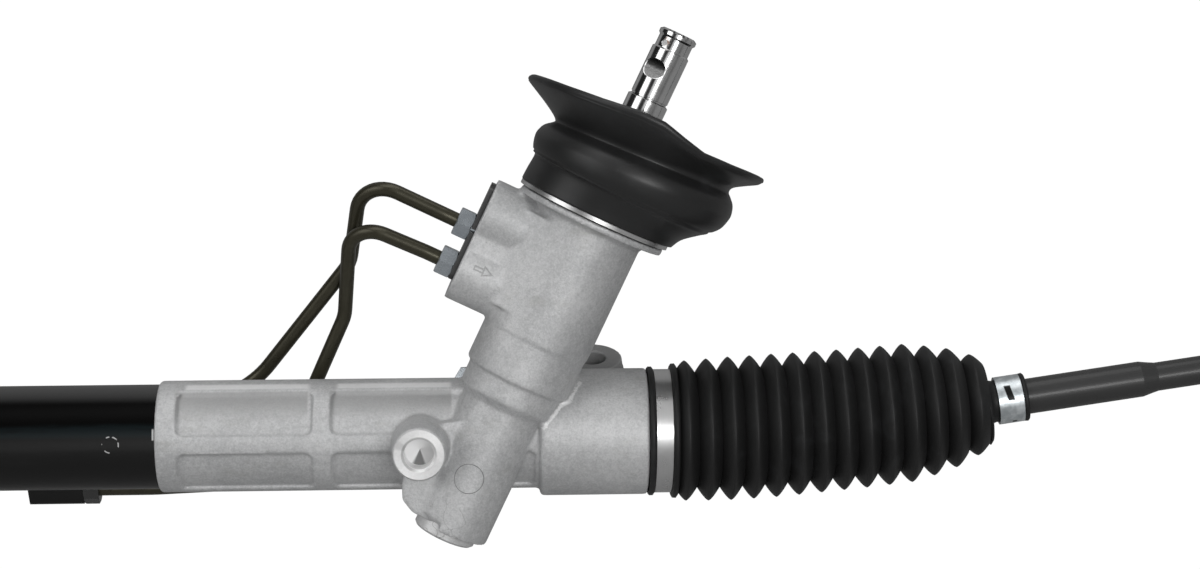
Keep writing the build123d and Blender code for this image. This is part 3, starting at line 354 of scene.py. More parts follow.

# %% [markdown]
# ## Cast aluminium
# The housing is die cast and blasted with fine shot: a pale grey with a soft sheen and a grain of
# under a millimetre. Edges are lighter, partly from rubbing in a crate and partly as a painted
# highlight, and hollows get a little painted shade.
# Three sizes of noise make the grain, and the mesh's own pointiness finds edges and hollows.

# %% Cast aluminium
def cast_aluminium():
    finish = Finish("cast_aluminium", Metallic=0.35)
    fine = finish.noise(2600, 3, 0.7)
    grain = finish.noise(1150, 3, 0.65)
    medium = finish.noise(420, 4, 0.6)
    wide = finish.noise(36, 3, 0.55)
    stain = finish.noise(1.0, 5, 0.65, finish.stretched(26, 70, 70))
    pit = finish.node("ShaderNodeTexVoronoi", {}, {"Vector": finish.place, "Scale": 520})
    pit = pit.below(0.06, 0.2)
    # Convex edges: partly rubbed wear, partly a painted highlight.
    edge_wear_and_highlight = finish.node("ShaderNodeNewGeometry", out="Pointiness").above(0.515, 0.58)
    # Painted shade: concave places are found here to be painted darker.
    hollow_shade = finish.node("ShaderNodeNewGeometry", out="Pointiness").below(0.42, 0.497)
    along = finish.along(along_x, rack_middle)
    seen = finish.along(seen_up, rack_middle)
    facing, rail_highlight, painted_shade = pocket_light(finish, along, seen)
    groove = ejector_ring(finish) + arrow_mark(finish) * 0.55
    flash = flash_line(finish, along, seen) * facing
    tone = medium * 0.3 + wide * 0.3 + grain * 0.4
    colour = finish.mix(tone.above(0.34, 0.66), grey(0.43, -0.012), grey(0.64, -0.004))
    # Painted shade: the pocket floors are painted darker.
    colour = finish.mix(painted_shade * 0.72, colour, grey(0.32))
    # Painted highlight: a bright strip along the pockets' upper edges.
    colour = finish.mix(rail_highlight * 0.7, colour, grey(0.95))
    # Painted shade: the mounting lug is painted dark.
    colour = finish.mix(lug_shade(finish) * 0.75, colour, grey(0.20))
    colour = finish.mix(stain.above(0.58, 0.74) * 0.45, colour, (0.36, 0.36, 0.34, 1))
    # Convex edges are painted lighter: rubbed wear and a painted highlight.
    colour = finish.mix(edge_wear_and_highlight * 0.5, colour, grey(0.86))
    # Painted shade in the hollows.
    colour = finish.mix(hollow_shade * 0.55, colour, grey(0.33, 0.01))
    colour = finish.mix(flash * (grain * 0.9 + medium * 0.6).least(0.85), colour, grey(0.88))
    colour = finish.mix(pen_scribble(finish, along) * 0.45, colour, grey(0.20))
    # Painted shade: the ring groove and the arrow outline are painted dark.
    colour = finish.mix(groove * 0.75, colour, grey(0.16))
    colour = finish.mix(pit * medium.above(0.52, 0.7) * 0.35, colour, grey(0.28))
    height = fine * 0.5 + medium * 0.7 + grain * 0.9 - pit * 0.5 - groove * 2.0
    finish.set(Base_Color=colour, Roughness=0.40 + medium * 0.22 - edge_wear_and_highlight * 0.12,
               Normal=finish.bump(height, 0.5, 0.00026))
    return finish.material


materials["cast_aluminium"] = cast_aluminium()
print("cast aluminium made")

# %% [markdown]
# ## Machined aluminium
# The front boss is faced and drilled, which leaves fine rings on its face and a cone at the
# bottom of the hole. The hole is painted near white as a painted reflection. A cone mirrors the room
# in wedges, so a painted dark wedge of reflection points at its tip, and one side gets painted shade.

# %% Machined aluminium
def machined_aluminium():
    finish = Finish("machined_aluminium")
    centre = Vector(mounts["front_boss_hole"]["pos_m"])
    side = finish.along(along_x, centre)
    up = finish.along(casting_up, centre)
    radius = side.with_side(up)
    turn = up.turn(side)
    rings = (radius * 30).sine()
    streak = finish.noise(900, 2, 0.5)
    # Inside the hole the colour is near white and less metallic: a painted reflection of the bright cone.
    inside = radius.below(6.5, 6.65)
    cone = radius.below(6.28, 6.42)
    # Painted reflection: a dark wedge pointing at the cone's tip.
    reflected_wedge = turn.near(-1.62, 0.30, 0.60)
    # Painted shade on one side of the cone.
    painted_shade = turn.near(-0.4, 0.3, 1.6)
    chip = turn.near(2.7, 0.10, 0.26)
    colour = finish.mix(rings * 0.15 + streak * 0.6, grey(0.66), grey(0.92))
    # Painted reflection: the inside of the hole is painted near white.
    colour = finish.mix(inside, colour, grey(0.97))
    # Painted reflection and painted shade on the cone.
    colour = finish.mix(cone * (reflected_wedge * 0.85).most(painted_shade * 0.3), colour, grey(0.10))
    colour = finish.mix((1 - cone) * chip * 0.5, colour, grey(0.45))
    finish.set(Base_Color=colour, Roughness=0.26 + streak * 0.2, Metallic=0.6 - inside * 0.5,
               Normal=finish.bump(rings * 0.4 + streak, 0.15, 0.0001))
    return finish.material


materials["machined_aluminium"] = machined_aluminium()
print("machined aluminium made")

# %% [markdown]
# ## Black paint
# The tube and the tie rods are dipped in gloss black. Orange peel of a few millimetres bends the
# reflections, and dust and a small scuff break the shine. On the tube the gloss bands are painted into
# the colour: a painted sheen at the top, a painted deep black band under it where metallic black cuts
# the reflections, and a faint painted reflection band before the plain lower half.

# %% Black paint
scuff_place = on_rack(-162.8, -22, 0.6)
# Place of the painted highlight on the tube, in millimetres along and up.
glint_along, glint_up = -144.6, 2.2


def tube_scuff_and_glint(finish, along, seen):
    """A round scuff broken into arcs, and a painted highlight where the tube enters the casting."""
    scuff = finish.distance(scuff_place).near(3.6, 0.10, 0.35)
    scuff = scuff * finish.noise(330, 1, 0.4).above(0.50, 0.54)
    # Painted highlight: a short bright stroke where the tube enters the casting.
    painted_glint = ((along - glint_along).absolute() * 6).most((seen - glint_up).absolute()).below(1.9, 2.8)
    return (scuff + painted_glint).least(0.9)


def black_paint():
    finish = Finish("black_paint", Coat_Roughness=0.16, Specular_IOR_Level=0.25)
    peel = finish.noise(260, 2, 0.5)
    dust = finish.noise(3200, 2, 0.8).above(0.66, 0.78)
    smear = finish.noise(1.0, 4, 0.6, finish.stretched(14, 90, 90))
    along = finish.along(along_x, rack_middle)
    seen = finish.along(seen_up, rack_middle)
    rod = along.above(60, 70)
    tube = 1 - rod
    # Painted sheen at the top of the tube.
    sheen = seen.above(15.5, 21) * tube
    # Painted dark band: metallic near black cuts the reflections here.
    black = seen.above(-3, 7) * seen.below(15, 18.5) * tube
    # Painted reflection: a faint smeared band.
    band = seen.near(4, 1.5, 4.0) * smear.above(0.46, 0.62) * tube
    colour = finish.mix(dust * 0.25 + smear.above(0.45, 0.8) * 0.2, grey(0.004), grey(0.022))
    colour = finish.mix(rod * 0.7, colour, grey(0.05))
    # Painted light bands of the tube: a painted dark band, a painted sheen and a painted reflection band.
    colour = finish.mix(black, colour, grey(0.003))
    colour = finish.mix(sheen * 0.7, colour, grey(0.06))
    colour = finish.mix(band * 0.7, colour, (0.010, 0.016, 0.018, 1))
    # A real scuff and a painted highlight, both pale.
    colour = finish.mix(tube_scuff_and_glint(finish, along, seen), colour, grey(0.55))
    finish.set(Base_Color=colour, Roughness=0.30 + smear * 0.14 + dust * 0.2, Metallic=black * 0.92,
               Coat_Weight=(0.16 - dust * 0.14) * (1 - black), Normal=finish.bump(peel, 0.10, 0.0003))
    return finish.material


materials["black_paint"] = black_paint()
print("black paint made")

# %% [markdown]
# ## Plated and bare steel
# Pipes wear an olive coating, nuts and clamps bright zinc, and the inner pieces are plain steel.
# They differ in colour, in roughness and in the direction of their fine scratches, so one recipe
# with a stretched noise serves them all. The nuts at the tube were painted over with it.

# %% Plated steels
painted_to = -90


def plated(name, dark, light, roughness, metallic, scratch=(300, 2600, 2600), painted=False):
    finish = Finish(name, Metallic=metallic)
    lines = finish.noise(1.0, 3, 0.6, finish.stretched(*scratch))
    cloud = finish.noise(150, 3, 0.6)
    spots = finish.noise(1500, 2, 0.7).above(0.68, 0.8)
    spot_colour = tuple(channel * 0.4 for channel in dark[:3]) + (1,)
    colour = finish.mix(lines * 0.4 + cloud * 0.6, dark, light)
    colour = finish.mix(spots * 0.3, colour, spot_colour)
    if painted:
        paint = finish.along(along_x, rack_middle).below(painted_to - 1, painted_to + 1)
        colour = finish.mix(paint, colour, grey(0.012))
        finish.set(Metallic=(1 - paint) * metallic)
    finish.set(Base_Color=colour, Roughness=(cloud - 0.5) * 0.18 + roughness + spots * 0.15,
               Normal=finish.bump(lines, 0.08, 0.00008))
    return finish.material


for name, dark, light, roughness, metallic in (
        ("olive_steel", (0.030, 0.028, 0.018, 1), (0.075, 0.069, 0.045, 1), 0.30, 0.55),
        ("zinc", (0.44, 0.48, 0.52, 1), (0.74, 0.79, 0.83, 1), 0.26, 0.9),
        ("steel", grey(0.36), grey(0.58), 0.34, 0.95),
        ("bronze", (0.26, 0.15, 0.05, 1), (0.42, 0.27, 0.10, 1), 0.42, 0.85)):
    materials[name] = plated(name, dark, light, roughness, metallic)
materials["band_steel"] = plated(
    "band_steel", grey(0.52), grey(0.72), roughness=0.30, metallic=0.9, scratch=(2200, 90, 90))
materials["nut_zinc"] = plated(
    "nut_zinc", (0.36, 0.40, 0.44, 1), (0.66, 0.71, 0.75, 1), roughness=0.26, metallic=0.9, painted=True)
print("plated steels made")

# %% [markdown]
# ## Ground steel of the shafts
# The input shaft is ground bright, and each later cut looks different: the pinch notch is milled
# and dull, the top edge is staked in short dents, and a little rust has started beside the pin. The
# upper half of the notch and the dents are painted dark as painted shade.
# Radius and height round the pinion axis tell the shader which cut a point lies on.

# %% Ground steel
notch_height = 176.8
top_edge = 193.7


def bright_steel():
    finish = Finish("bright_steel", Metallic=1.0)
    lines = finish.noise(1.0, 3, 0.6, finish.stretched(900, 900, 5000))
    cloud = finish.noise(150, 3, 0.6)
    side = finish.along(pinion_side, pinion_foot)
    back = finish.along(casting_back, pinion_foot)
    height = finish.along(pinion_up, pinion_foot)
    radius = side.with_side(back)
    notch = radius.below(8.1, 8.4) * height.near(notch_height, 6.0, 6.4)
    # Painted shade: the upper half of the notch.
    notch_upper_shade = (height + finish.noise(500, 2, 0.6) * 2).above(177.5, 179.0)
    cutter = finish.noise(1.0, 2, 0.7, finish.stretched(4200, 4200, 500))
    teeth = (side.turn(back) * 22).sine().above(0.1, 0.5) * finish.noise(300).above(0.4, 0.5)
    # Painted shade in the staked dents.
    dent_shade = teeth * height.above(top_edge, top_edge + 0.3) * radius.above(4.0, 4.6)
    pin_spots = (vertex.co for vertex in nodes["torsion_bar_pin"].data.vertices)
    pin_end = min(pin_spots, key=lambda spot: spot.y)
    by_pin = finish.distance(pin_end + pinion_up * 1.5 * MM - pinion_side * 0.4 * MM)
    rust = by_pin.below(0.8, 2.6) * finish.noise(1400, 3, 0.7).above(0.46, 0.6)
    colour = finish.mix(lines * 0.4 + cloud * 0.6, grey(0.50), grey(0.82))
    colour = finish.mix(notch, colour, grey(0.20))
    colour = finish.mix(notch * cutter.above(0.5, 0.62) * 0.7, colour, grey(0.45))
    # Painted shade over the upper half of the notch.
    colour = finish.mix(notch * notch_upper_shade * 0.85, colour, grey(0.02))
    # Painted shade: the staked dents are painted near black.
    colour = finish.mix(dent_shade * 0.9, colour, grey(0.03))
    colour = finish.mix(rust, colour, (0.22, 0.08, 0.02, 1))
    finish.set(Base_Color=colour, Roughness=(cloud - 0.5) * 0.18 + 0.12 + notch * 0.3 + rust * 0.4,
               Normal=finish.bump(lines + notch * cutter, 0.035, 0.00008))
    return finish.material


materials["bright_steel"] = bright_steel()
print("ground steel made")

# %% [markdown]
# ## The small boot clamp
# The tail of each boot is held by a zinc clamp that closes on a hook: a slot above and a small hole
# below show where. They are punched marks, so they are placed along and across the rod.

# %% Boot clamp
def clamp_zinc():
    finish = Finish("clamp_zinc", Metallic=0.85)
    rise = Vector(joints["right_sweep"]["axis"]).normalized()
    rod = Vector((rise.z, 0, -rise.x))
    along = finish.along(rod, right_ball)
    up = finish.along(rise, right_ball)
    front = finish.along(Vector((0, 1, 0)), right_ball).below(-2, -1)
    slot = ((along + up * 0.22 - 88.9).absolute() - 1.4).most((up - 7.1).absolute() - 2.4)
    hole = ((along - 88.6).absolute() - 1.0).most((up + 6.9).absolute() - 0.7)
    mark = slot.least(hole).below(-0.15, 0.15) * front
    cloud = finish.noise(260, 4, 0.6)
    colour = finish.mix(cloud.above(0.35, 0.7), (0.50, 0.54, 0.56, 1), (0.76, 0.80, 0.82, 1))
    finish.set(Base_Color=finish.mix(mark, colour, grey(0.012)), Roughness=0.24 + cloud * 0.2,
               Normal=finish.bump(cloud - mark * 3, 0.2, 0.0002))
    return finish.material


materials["clamp_zinc"] = clamp_zinc()
print("clamp finish made")

# %% [markdown]
# ## Rubber and plastic
# Moulded rubber is nearly black, but its skin scatters a wide soft sheen. The bellows are duller
# than the bulkhead seal, which has a satin face. A pale bloom lies on both in clouds, crossed by
# hair-thin scratches from handling.

# %% Rubber
def rubber(name, level, roughness, grain, cloud_scale, shine=0.32):
    finish = Finish(name, Specular_IOR_Level=shine)
    fine = finish.noise(grain, 3, 0.65)
    cloud = finish.noise(cloud_scale, 4, 0.6)
    hair = finish.noise(1.0, 1, 0.3, finish.stretched(60, 60, 420)).near(0.5, 0.0015, 0.005)
    bloom = cloud.above(0.52, 0.78) + hair * cloud.above(0.5, 0.6) * 0.8
    pale = (bloom * 0.55 + fine * 0.25).least(1.0)
    finish.set(Base_Color=finish.mix(pale, grey(level * 0.75), grey(level * 2.0, -0.04)),
               Roughness=roughness - 0.06 + cloud * 0.16,
               Normal=finish.bump(fine * 0.7 + cloud * 0.5, 0.16, 0.00016))
    return finish.material


materials["black_rubber"] = rubber(
    "black_rubber", level=0.016, roughness=0.38, grain=2400, cloud_scale=55, shine=0.46)
materials["boot_rubber"] = rubber("boot_rubber", level=0.012, roughness=0.50, grain=1900, cloud_scale=80)
materials["ring_plastic"] = rubber("ring_plastic", level=0.05, roughness=0.5, grain=1200, cloud_scale=60)
print("rubbers made")

# %% [markdown]
# ## Dress the frame's own pieces
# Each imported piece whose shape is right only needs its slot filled. Its slot name in the record says
# which finish it takes.

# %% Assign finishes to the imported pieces
for subpart in frame["record"]["subparts"]:
    piece = nodes[subpart["node"]]
    material = materials[subpart["material_slot"]]
    piece.data.materials.clear()
    piece.data.materials.append(material)
for name in ("right_boot_band", "left_boot_band", "dash_seal_ring"):
    nodes[name].data.materials[0] = materials["band_steel"]
for name in ("right_boot_clamp", "left_boot_clamp"):
    nodes[name].data.materials[0] = materials["clamp_zinc"]
nodes["pipe_nuts"].data.materials[0] = materials["nut_zinc"]
print("finishes assigned")

# %% [markdown]
# ## Mesh helpers
# Turned and swept pieces are grids of rings. One function joins rings into a closed skin, another
# finishes an object: outward normals, smooth shading up to a crease, and its material.

# %% Build meshes from rings
def mesh_of(name, work):
    """Mesh of a bmesh, which is then let go."""
    mesh = bpy.data.meshes.new(name)
    work.to_mesh(mesh)
    work.free()
    return mesh


def placed(name, data):
    """New object in the scene."""
    piece = bpy.data.objects.new(name, data)
    bpy.context.scene.collection.objects.link(piece)
    return piece


def finish_piece(name, work, material, body, replaced=(), crease=180):
    """Makes an object of a bmesh, sets its finish and lets it ride on a body."""
    bmesh.ops.remove_doubles(work, verts=work.verts, dist=1e-7)
    bmesh.ops.recalc_face_normals(work, faces=work.faces)
    mesh = mesh_of(name, work)
    piece = placed(name, mesh)
    mesh.materials.append(materials[material])
    mesh.shade_smooth()
    mesh.set_sharp_from_angle(angle=math.radians(crease))
    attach(piece, body)
    if replaced:
        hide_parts(*replaced)
    return piece


def skin(rings):
    """Closed skin over rings of points, the last ring joined to the first."""
    work = bmesh.new()
    grid = [[work.verts.new(point) for point in ring] for ring in rings]
    count = len(grid[0])
    for index, ring in enumerate(grid):
        following = grid[(index + 1) % len(grid)]
        for step in range(count):
            beside = (step + 1) % count
            work.faces.new((ring[step], ring[beside], following[beside], following[step]))
    return work


def circle(centre, across, over, radius, count):
    """Points round a centre in the plane of two axes."""
    return [centre + (across * math.cos(2 * math.pi * step / count)
                      + over * math.sin(2 * math.pi * step / count)) * radius for step in range(count)]


def turned(origin, axis, profile, count=96):
    """Closed turned skin from (radius, height) points in millimetres, kept off the axis."""
    across = axis.orthogonal().normalized()
    over = axis.cross(across)
    return skin([circle(origin + axis * height * MM, across, over, max(radius, 0.01) * MM, count)
                 for radius, height in profile])


print("mesh helpers ready")

# %% [markdown]
# ## The cast housing
# A casting has no sharp inner corners: metal flows round them. Remeshing a copy of the packed
# housing into small cubes and smoothing it rounds every join as a mould would, and keeps the form.

# %% Cast housing
cube_size = 0.0008
smoothing_rounds = 4
kept_share = 0.30


def cast_skin():
    work = bmesh.new()
    work.from_mesh(nodes["rack_housing"].data)
    bmesh.ops.remove_doubles(work, verts=work.verts, dist=1e-6)
    piece = placed("cast_housing", mesh_of("cast_housing", work))
    cubes = piece.modifiers.new("cubes", "REMESH")
    cubes.mode = "VOXEL"
    cubes.voxel_size = cube_size
    soft = piece.modifiers.new("soft", "SMOOTH")
    soft.factor = 0.5
    soft.iterations = smoothing_rounds
    fewer = piece.modifiers.new("fewer", "DECIMATE")
    fewer.ratio = kept_share
    depsgraph = bpy.context.evaluated_depsgraph_get()
    result = bpy.data.meshes.new_from_object(piece.evaluated_get(depsgraph))
    piece.modifiers.clear()
    piece.data = result
    result.materials.clear()
    result.materials.append(materials["cast_aluminium"])
    result.shade_smooth()
    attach(piece, "housing")
    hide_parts("rack_housing")
    return result


housing_mesh = cast_skin()
print("cast housing triangles", sum(len(face.vertices) - 2 for face in housing_mesh.polygons))

# %% [markdown]
# ## Machined face of the front boss
# The boss is faced and drilled in one setting, so its ring is bright against the blasted casting, and
# the cone left by the drill carries painted reflection. A thin turned skin over the cut faces carries
# the cutter's rings. In the hole it stands 0.35 mm inside the cut wall, because the rounded casting
# closes in there.

# %% Machined boss
boss_reach = 46.0
ring_radius, mouth_radius, wall_radius = 10.7, 7.6, 6.45
mouth_depth, cone_start, cone_tip = 0.9, 10.6, 14.4


def boss_face():
    """Ring, wall and cone of the drilled boss, as one thin closed skin."""
    centre = Vector(mounts["front_boss_hole"]["pos_m"])
    outward = -casting_back
    face = (rack_middle - centre).dot(outward) / MM + boss_reach
    profile = [(ring_radius, face + 0.05), (mouth_radius, face + 0.05),
               (wall_radius, face - mouth_depth), (wall_radius, face - cone_start),
               (0.0, face - cone_tip), (0.0, face - cone_tip - 0.1),
               (wall_radius + 0.1, face - cone_start - 0.1), (wall_radius + 0.1, face - mouth_depth),
               (mouth_radius, face - 0.05), (ring_radius, face - 0.05)]
    return finish_piece("boss_face", turned(centre, outward, profile, 128), "machined_aluminium",
                        "housing", crease=25)


boss_face()
print("boss face made")

# %% [markdown]
# ## Boots with rounded folds
# A bellows is one fold repeated along a gently bent line. A node group makes the fold from a straight
# line whose radius swells and shrinks by a rule, and sets a copy on every point of the line. The
# points carry the crest radius and the tilt of their fold, so the last folds can shrink and lean.

# %% Bellows node group
crest_radii = (31.2, 31.6, 31.9, 31.9, 31.9, 31.7, 31.5, 31.3, 31.2, 31.0, 30.8, 29.0, 26.6, 22.6)
fold_pitch = 9.9
fold_overlap = 0.03
lean_share = 0.55
fold_length = fold_pitch * len(crest_radii)
cuff_length = 11.9
tail_reach = 95.5
tail_length = 15.5
neck_radius = 9.3


def tree_node(tree, kind, settings=None, inputs=None):
    """Adds a node to a group: settings, then values or links for its sockets."""
    made = tree.nodes.new(kind)
    for key, value in (settings or {}).items():
        setattr(made, key, value)
    for key, value in (inputs or {}).items():
        if isinstance(value, bpy.types.NodeSocket):
            tree.links.new(value, made.inputs[key])
        else:
            made.inputs[key].default_value = value
    return made


def group_with(name, inputs):
    """Empty geometry group with a geometry input and output and named inputs."""
    tree = bpy.data.node_groups.new(name, "GeometryNodeTree")
    tree.interface.new_socket("Geometry", in_out="INPUT", socket_type="NodeSocketGeometry")
    tree.interface.new_socket("Geometry", in_out="OUTPUT", socket_type="NodeSocketGeometry")
    for label, kind in inputs:
        tree.interface.new_socket(label, in_out="INPUT", socket_type="NodeSocket" + kind)
    return tree, tree.nodes.new("NodeGroupInput"), tree.nodes.new("NodeGroupOutput")


def grown(name, base, tree, values):
    """Plain mesh grown from a base mesh by a geometry group with its inputs set."""
    grower = placed(name, base)
    modifier = grower.modifiers.new(name, "NODES")
    modifier.node_group = tree
    for item in tree.interface.items_tree:
        if item.in_out == "INPUT" and item.name in values:
            modifier[item.identifier] = values[item.name]
    grower.update_tag()
    depsgraph = bpy.context.evaluated_depsgraph_get()
    mesh = bpy.data.meshes.new_from_object(grower.evaluated_get(depsgraph))
    bpy.data.objects.remove(grower)
    return mesh


def bellows_group():
    tree, given, result = group_with("bellows", [
        ("Pitch", "Float"), ("Valley", "Float"), ("Point", "Float"), ("Material", "Material")])
    line = tree_node(tree, "GeometryNodeCurvePrimitiveLine", {}, {"End": (1, 0, 0)})
    steps = tree_node(tree, "GeometryNodeResampleCurve", {}, {"Curve": line.outputs[0], "Count": 17})
    share = tree_node(tree, "GeometryNodeSplineParameter")
    centred = tree_node(tree, "ShaderNodeMath", {"operation": "MULTIPLY_ADD"}, {
        0: share.outputs["Factor"], 1: 2.0, 2: -1.0})
    away = tree_node(tree, "ShaderNodeMath", {"operation": "ABSOLUTE"}, {0: centred.outputs[0]})
    shaped = tree_node(tree, "ShaderNodeMath", {"operation": "POWER"}, {
        0: away.outputs[0], 1: given.outputs["Point"]})
    radius = tree_node(tree, "ShaderNodeMapRange", {}, {
        "Value": shaped.outputs[0], "To Min": 1.0, "To Max": given.outputs["Valley"]})
    circle_line = tree_node(tree, "GeometryNodeCurvePrimitiveCircle", {}, {
        "Resolution": 112, "Radius": 1.0})
    skin_mesh = tree_node(tree, "GeometryNodeCurveToMesh", {}, {
        "Curve": steps.outputs[0], "Profile Curve": circle_line.outputs[0], "Scale": radius.outputs[0]})
    number = {"data_type": "FLOAT"}
    crest, tilt, turn = (
        tree_node(tree, "GeometryNodeInputNamedAttribute", number, {"Name": label}).outputs[0]
        for label in ("crest", "tilt", "turn"))
    size = tree_node(tree, "ShaderNodeCombineXYZ", {}, {0: given.outputs["Pitch"], 1: crest, 2: crest})
    angles = tree_node(tree, "ShaderNodeCombineXYZ", {}, {1: tilt, 2: turn})
    rotation = tree_node(tree, "FunctionNodeEulerToRotation", {}, {0: angles.outputs[0]})
    folds = tree_node(tree, "GeometryNodeInstanceOnPoints", {}, {
        "Points": given.outputs["Geometry"], "Instance": skin_mesh.outputs[0],
        "Rotation": rotation.outputs[0], "Scale": size.outputs[0]})
    real = tree_node(tree, "GeometryNodeRealizeInstances", {}, {0: folds.outputs[0]})
    dressed = tree_node(tree, "GeometryNodeSetMaterial", {}, {
        "Geometry": real.outputs[0], "Material": given.outputs["Material"]})
    tree.links.new(dressed.outputs[0], result.inputs[0])
    return tree


bellows_tree = bellows_group()
print("bellows group", len(bellows_tree.nodes), "nodes")

# %% [markdown]
# ## Fitting the boots
# The cuff is clamped on the housing and the tail on the tie rod. The folds between are made in three
# stretches, which are not attached to any body. Near the tail the rings lean with the rod.

# %% Boots
def boot_line(start, side, ball, rise, arch, distance):
    """Centre of a boot and its lean at a distance from the cuff."""
    curve = 2 * (abs(ball - start) - cuff_length)
    past = max(0.0, distance - cuff_length)
    along = min(past, curve)
    slope = math.tan(rise) * along / curve
    lift = slope * along / 2 + math.tan(rise) * (past - along)
    lift += arch * math.sin(math.pi * min(1.0, past / fold_length))
    return on_row(start + side * distance, lift), math.atan(slope)


def boot_stretch(name, folds, start, side, ball, rise, arch):
    """One run of folds of a boot, as an object."""
    base = bpy.data.meshes.new(name + "_points")
    places, crests, tilts = [], [], []
    for fold in folds:
        centre, lean = boot_line(start, side, ball, rise, arch, cuff_length + fold * fold_pitch)
        places.append(centre)
        crests.append(crest_radii[fold] * MM)
        tilts.append(-lean * lean_share)
    base.from_pydata(places, [], [])
    turns = [0.0 if side > 0 else math.pi] * len(places)
    for label, values in (("crest", crests), ("tilt", tilts), ("turn", turns)):
        base.attributes.new(label, "FLOAT", "POINT").data.foreach_set("value", values)
    mesh = grown(name, base, bellows_tree, {
        "Pitch": (fold_pitch + fold_overlap) * MM, "Valley": 0.81, "Point": 1.35,
        "Material": materials["boot_rubber"]})
    mesh.shade_smooth()
    piece = placed(name, mesh)
    return piece


def boot_ends(prefix, start, side, ball, rise, seat):
    """Cuff on the housing and cone and neck on the rod."""
    inner = seat + 0.31
    wall = inner + 1.6
    along = Vector((side, 0, 0))
    cuff = turned(on_row(start, 0), along, [
        (inner, 0.0), (wall + 1.6, 0.0), (wall + 2.2, 0.5), (wall + 2.2, 2.0), (wall + 1.4, 2.6),
        (wall, 2.8), (wall, 10.2), (wall + 2.6, 10.3), (wall + 3.4, 10.8), (wall + 3.5, 12.2),
        (wall + 2.4, 13.0), (wall - 0.6, 13.4), (inner, 13.4)], 128)
    finish_piece(prefix + "_boot_cuff", cuff, "boot_rubber", "housing")
    rod = Vector((side * math.cos(rise), 0, math.sin(rise)))
    centre, _ = boot_line(start, side, ball, rise, 0.0, cuff_length + fold_length)
    foot = (centre - on_row(ball, 0)).dot(rod) / MM
    neck = tail_reach - tail_length
    cone = turned(on_row(ball, 0), rod, [
        (17.2, foot - 0.5), (18.9, foot - 0.2), (17.6, foot + 0.9), (neck_radius + 2.2, neck - 2.2),
        (neck_radius + 0.4, neck - 0.5), (neck_radius, neck + 1.0), (neck_radius, tail_reach - 2.4),
        (neck_radius + 1.3, tail_reach - 2.0), (neck_radius + 1.5, tail_reach - 0.6),
        (neck_radius + 0.9, tail_reach), (8.22, tail_reach), (8.22, neck), (15.6, foot + 0.4)], 96)
    finish_piece(prefix + "_boot_tail", cone, "boot_rubber", prefix + "_rod")


splits = (0, 8, 10, 14)


def fitted_boot(prefix, start, side, ball, rise, arch, seat):
    """The whole boot in its three stretches with both ends."""
    for index in range(3):
        folds = range(splits[index], splits[index + 1])
        name = "%s_boot_folds_%d" % (prefix, index + 1)
        piece = boot_stretch(name, folds, start, side, ball, rise, arch)
        low = boot_line(start, side, ball, rise, 0.0, cuff_length + splits[index] * fold_pitch)[0]
        high = boot_line(start, side, ball, rise, 0.0, cuff_length + splits[index + 1] * fold_pitch)[0]
        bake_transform(piece)
        if index == 0:
            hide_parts(prefix + "_boot")
    boot_ends(prefix, start, side, ball, rise, seat)


swing = Vector(joints["right_sweep"]["axis"])
right_rise = math.atan2(-swing.x, swing.z)
fitted_boot("right", start=70.6, side=1, ball=145.0, rise=right_rise, arch=1.2, seat=24.5)
fitted_boot("left", start=-379.1, side=-1, ball=-487.0, rise=0.0, arch=0.0, seat=23.0)
print("boots fitted, right rod rises", round(math.degrees(right_rise), 2))

# %% [markdown]
# ## The bulkhead seal
# A moulded rubber boot closes the gap round the shaft. Its rings are read off the picture's outline:
# a straight collar, a fat bulge leaning to the right, a waist, and a wide thin rim that waves.

# Each ring is given as its share of the height, its radius, its shift to the right and its rise.

# %% Rings of the seal
seal_foot, seal_height, seal_wall = 110.3, 40.3, 3.0
near_lean = 2.9
wave_start, wave_span = 0.82, 0.18
crease_place, crease_depth = 0.325, 0.55
seal_rings = (
    (0.0, 35.7, 0.6, 0.0), (0.117, 36.95, 2.05, 0.0), (0.259, 39.7, 5.3, -1.5),
    (0.303, 41.85, 6.15, -0.6), (0.395, 44.55, 7.45, 0.4), (0.496, 45.7, 7.9, 1.4),
    (0.566, 45.6, 8.2, 1.8), (0.648, 44.3, 8.3, 2.8), (0.712, 41.7, 8.7, 2.8),
    (0.747, 40.65, 8.05, 3.6), (0.8, 42.0, 7.4, 4.1), (0.882, 47.2, 6.6, 3.5),
    (0.971, 53.85, 4.45, 1.5), (1.0, 54.95, 4.65, 2.0))
lip_rings = (
    (1.012, 55.5, 4.65, 2.0), (1.035, 55.45, 4.65, 2.0), (1.052, 54.9, 4.65, 2.0),
    (1.055, 54.0, 4.65, 2.0), (1.04, 52.9, 4.65, 2.0))
collar_rings = (
    (0.075, 28.0, 0.0, 0.0), (-0.066, 27.0, 0.0, 0.0), (-0.066, 30.96, 0.0, 0.0),
    (-0.001, 30.98, 0.0, 0.0))
rim_wave = ((-56, 0.4), (-40, 0.6), (-25, 1.2), (-8, 2.4), (2, 2.2), (12, 0.2),
            (22, -1.5), (36, -1.1), (50, -0.3), (60, 0.0))


def between(table, where):
    """Value read off a table of (place, value) pairs, straight between them."""
    for (left, first), (right, second) in zip(table, table[1:]):
        if where <= right:
            share = max(0.0, (where - left) / (right - left))
            return first + (second - first) * share
    return table[-1][1]


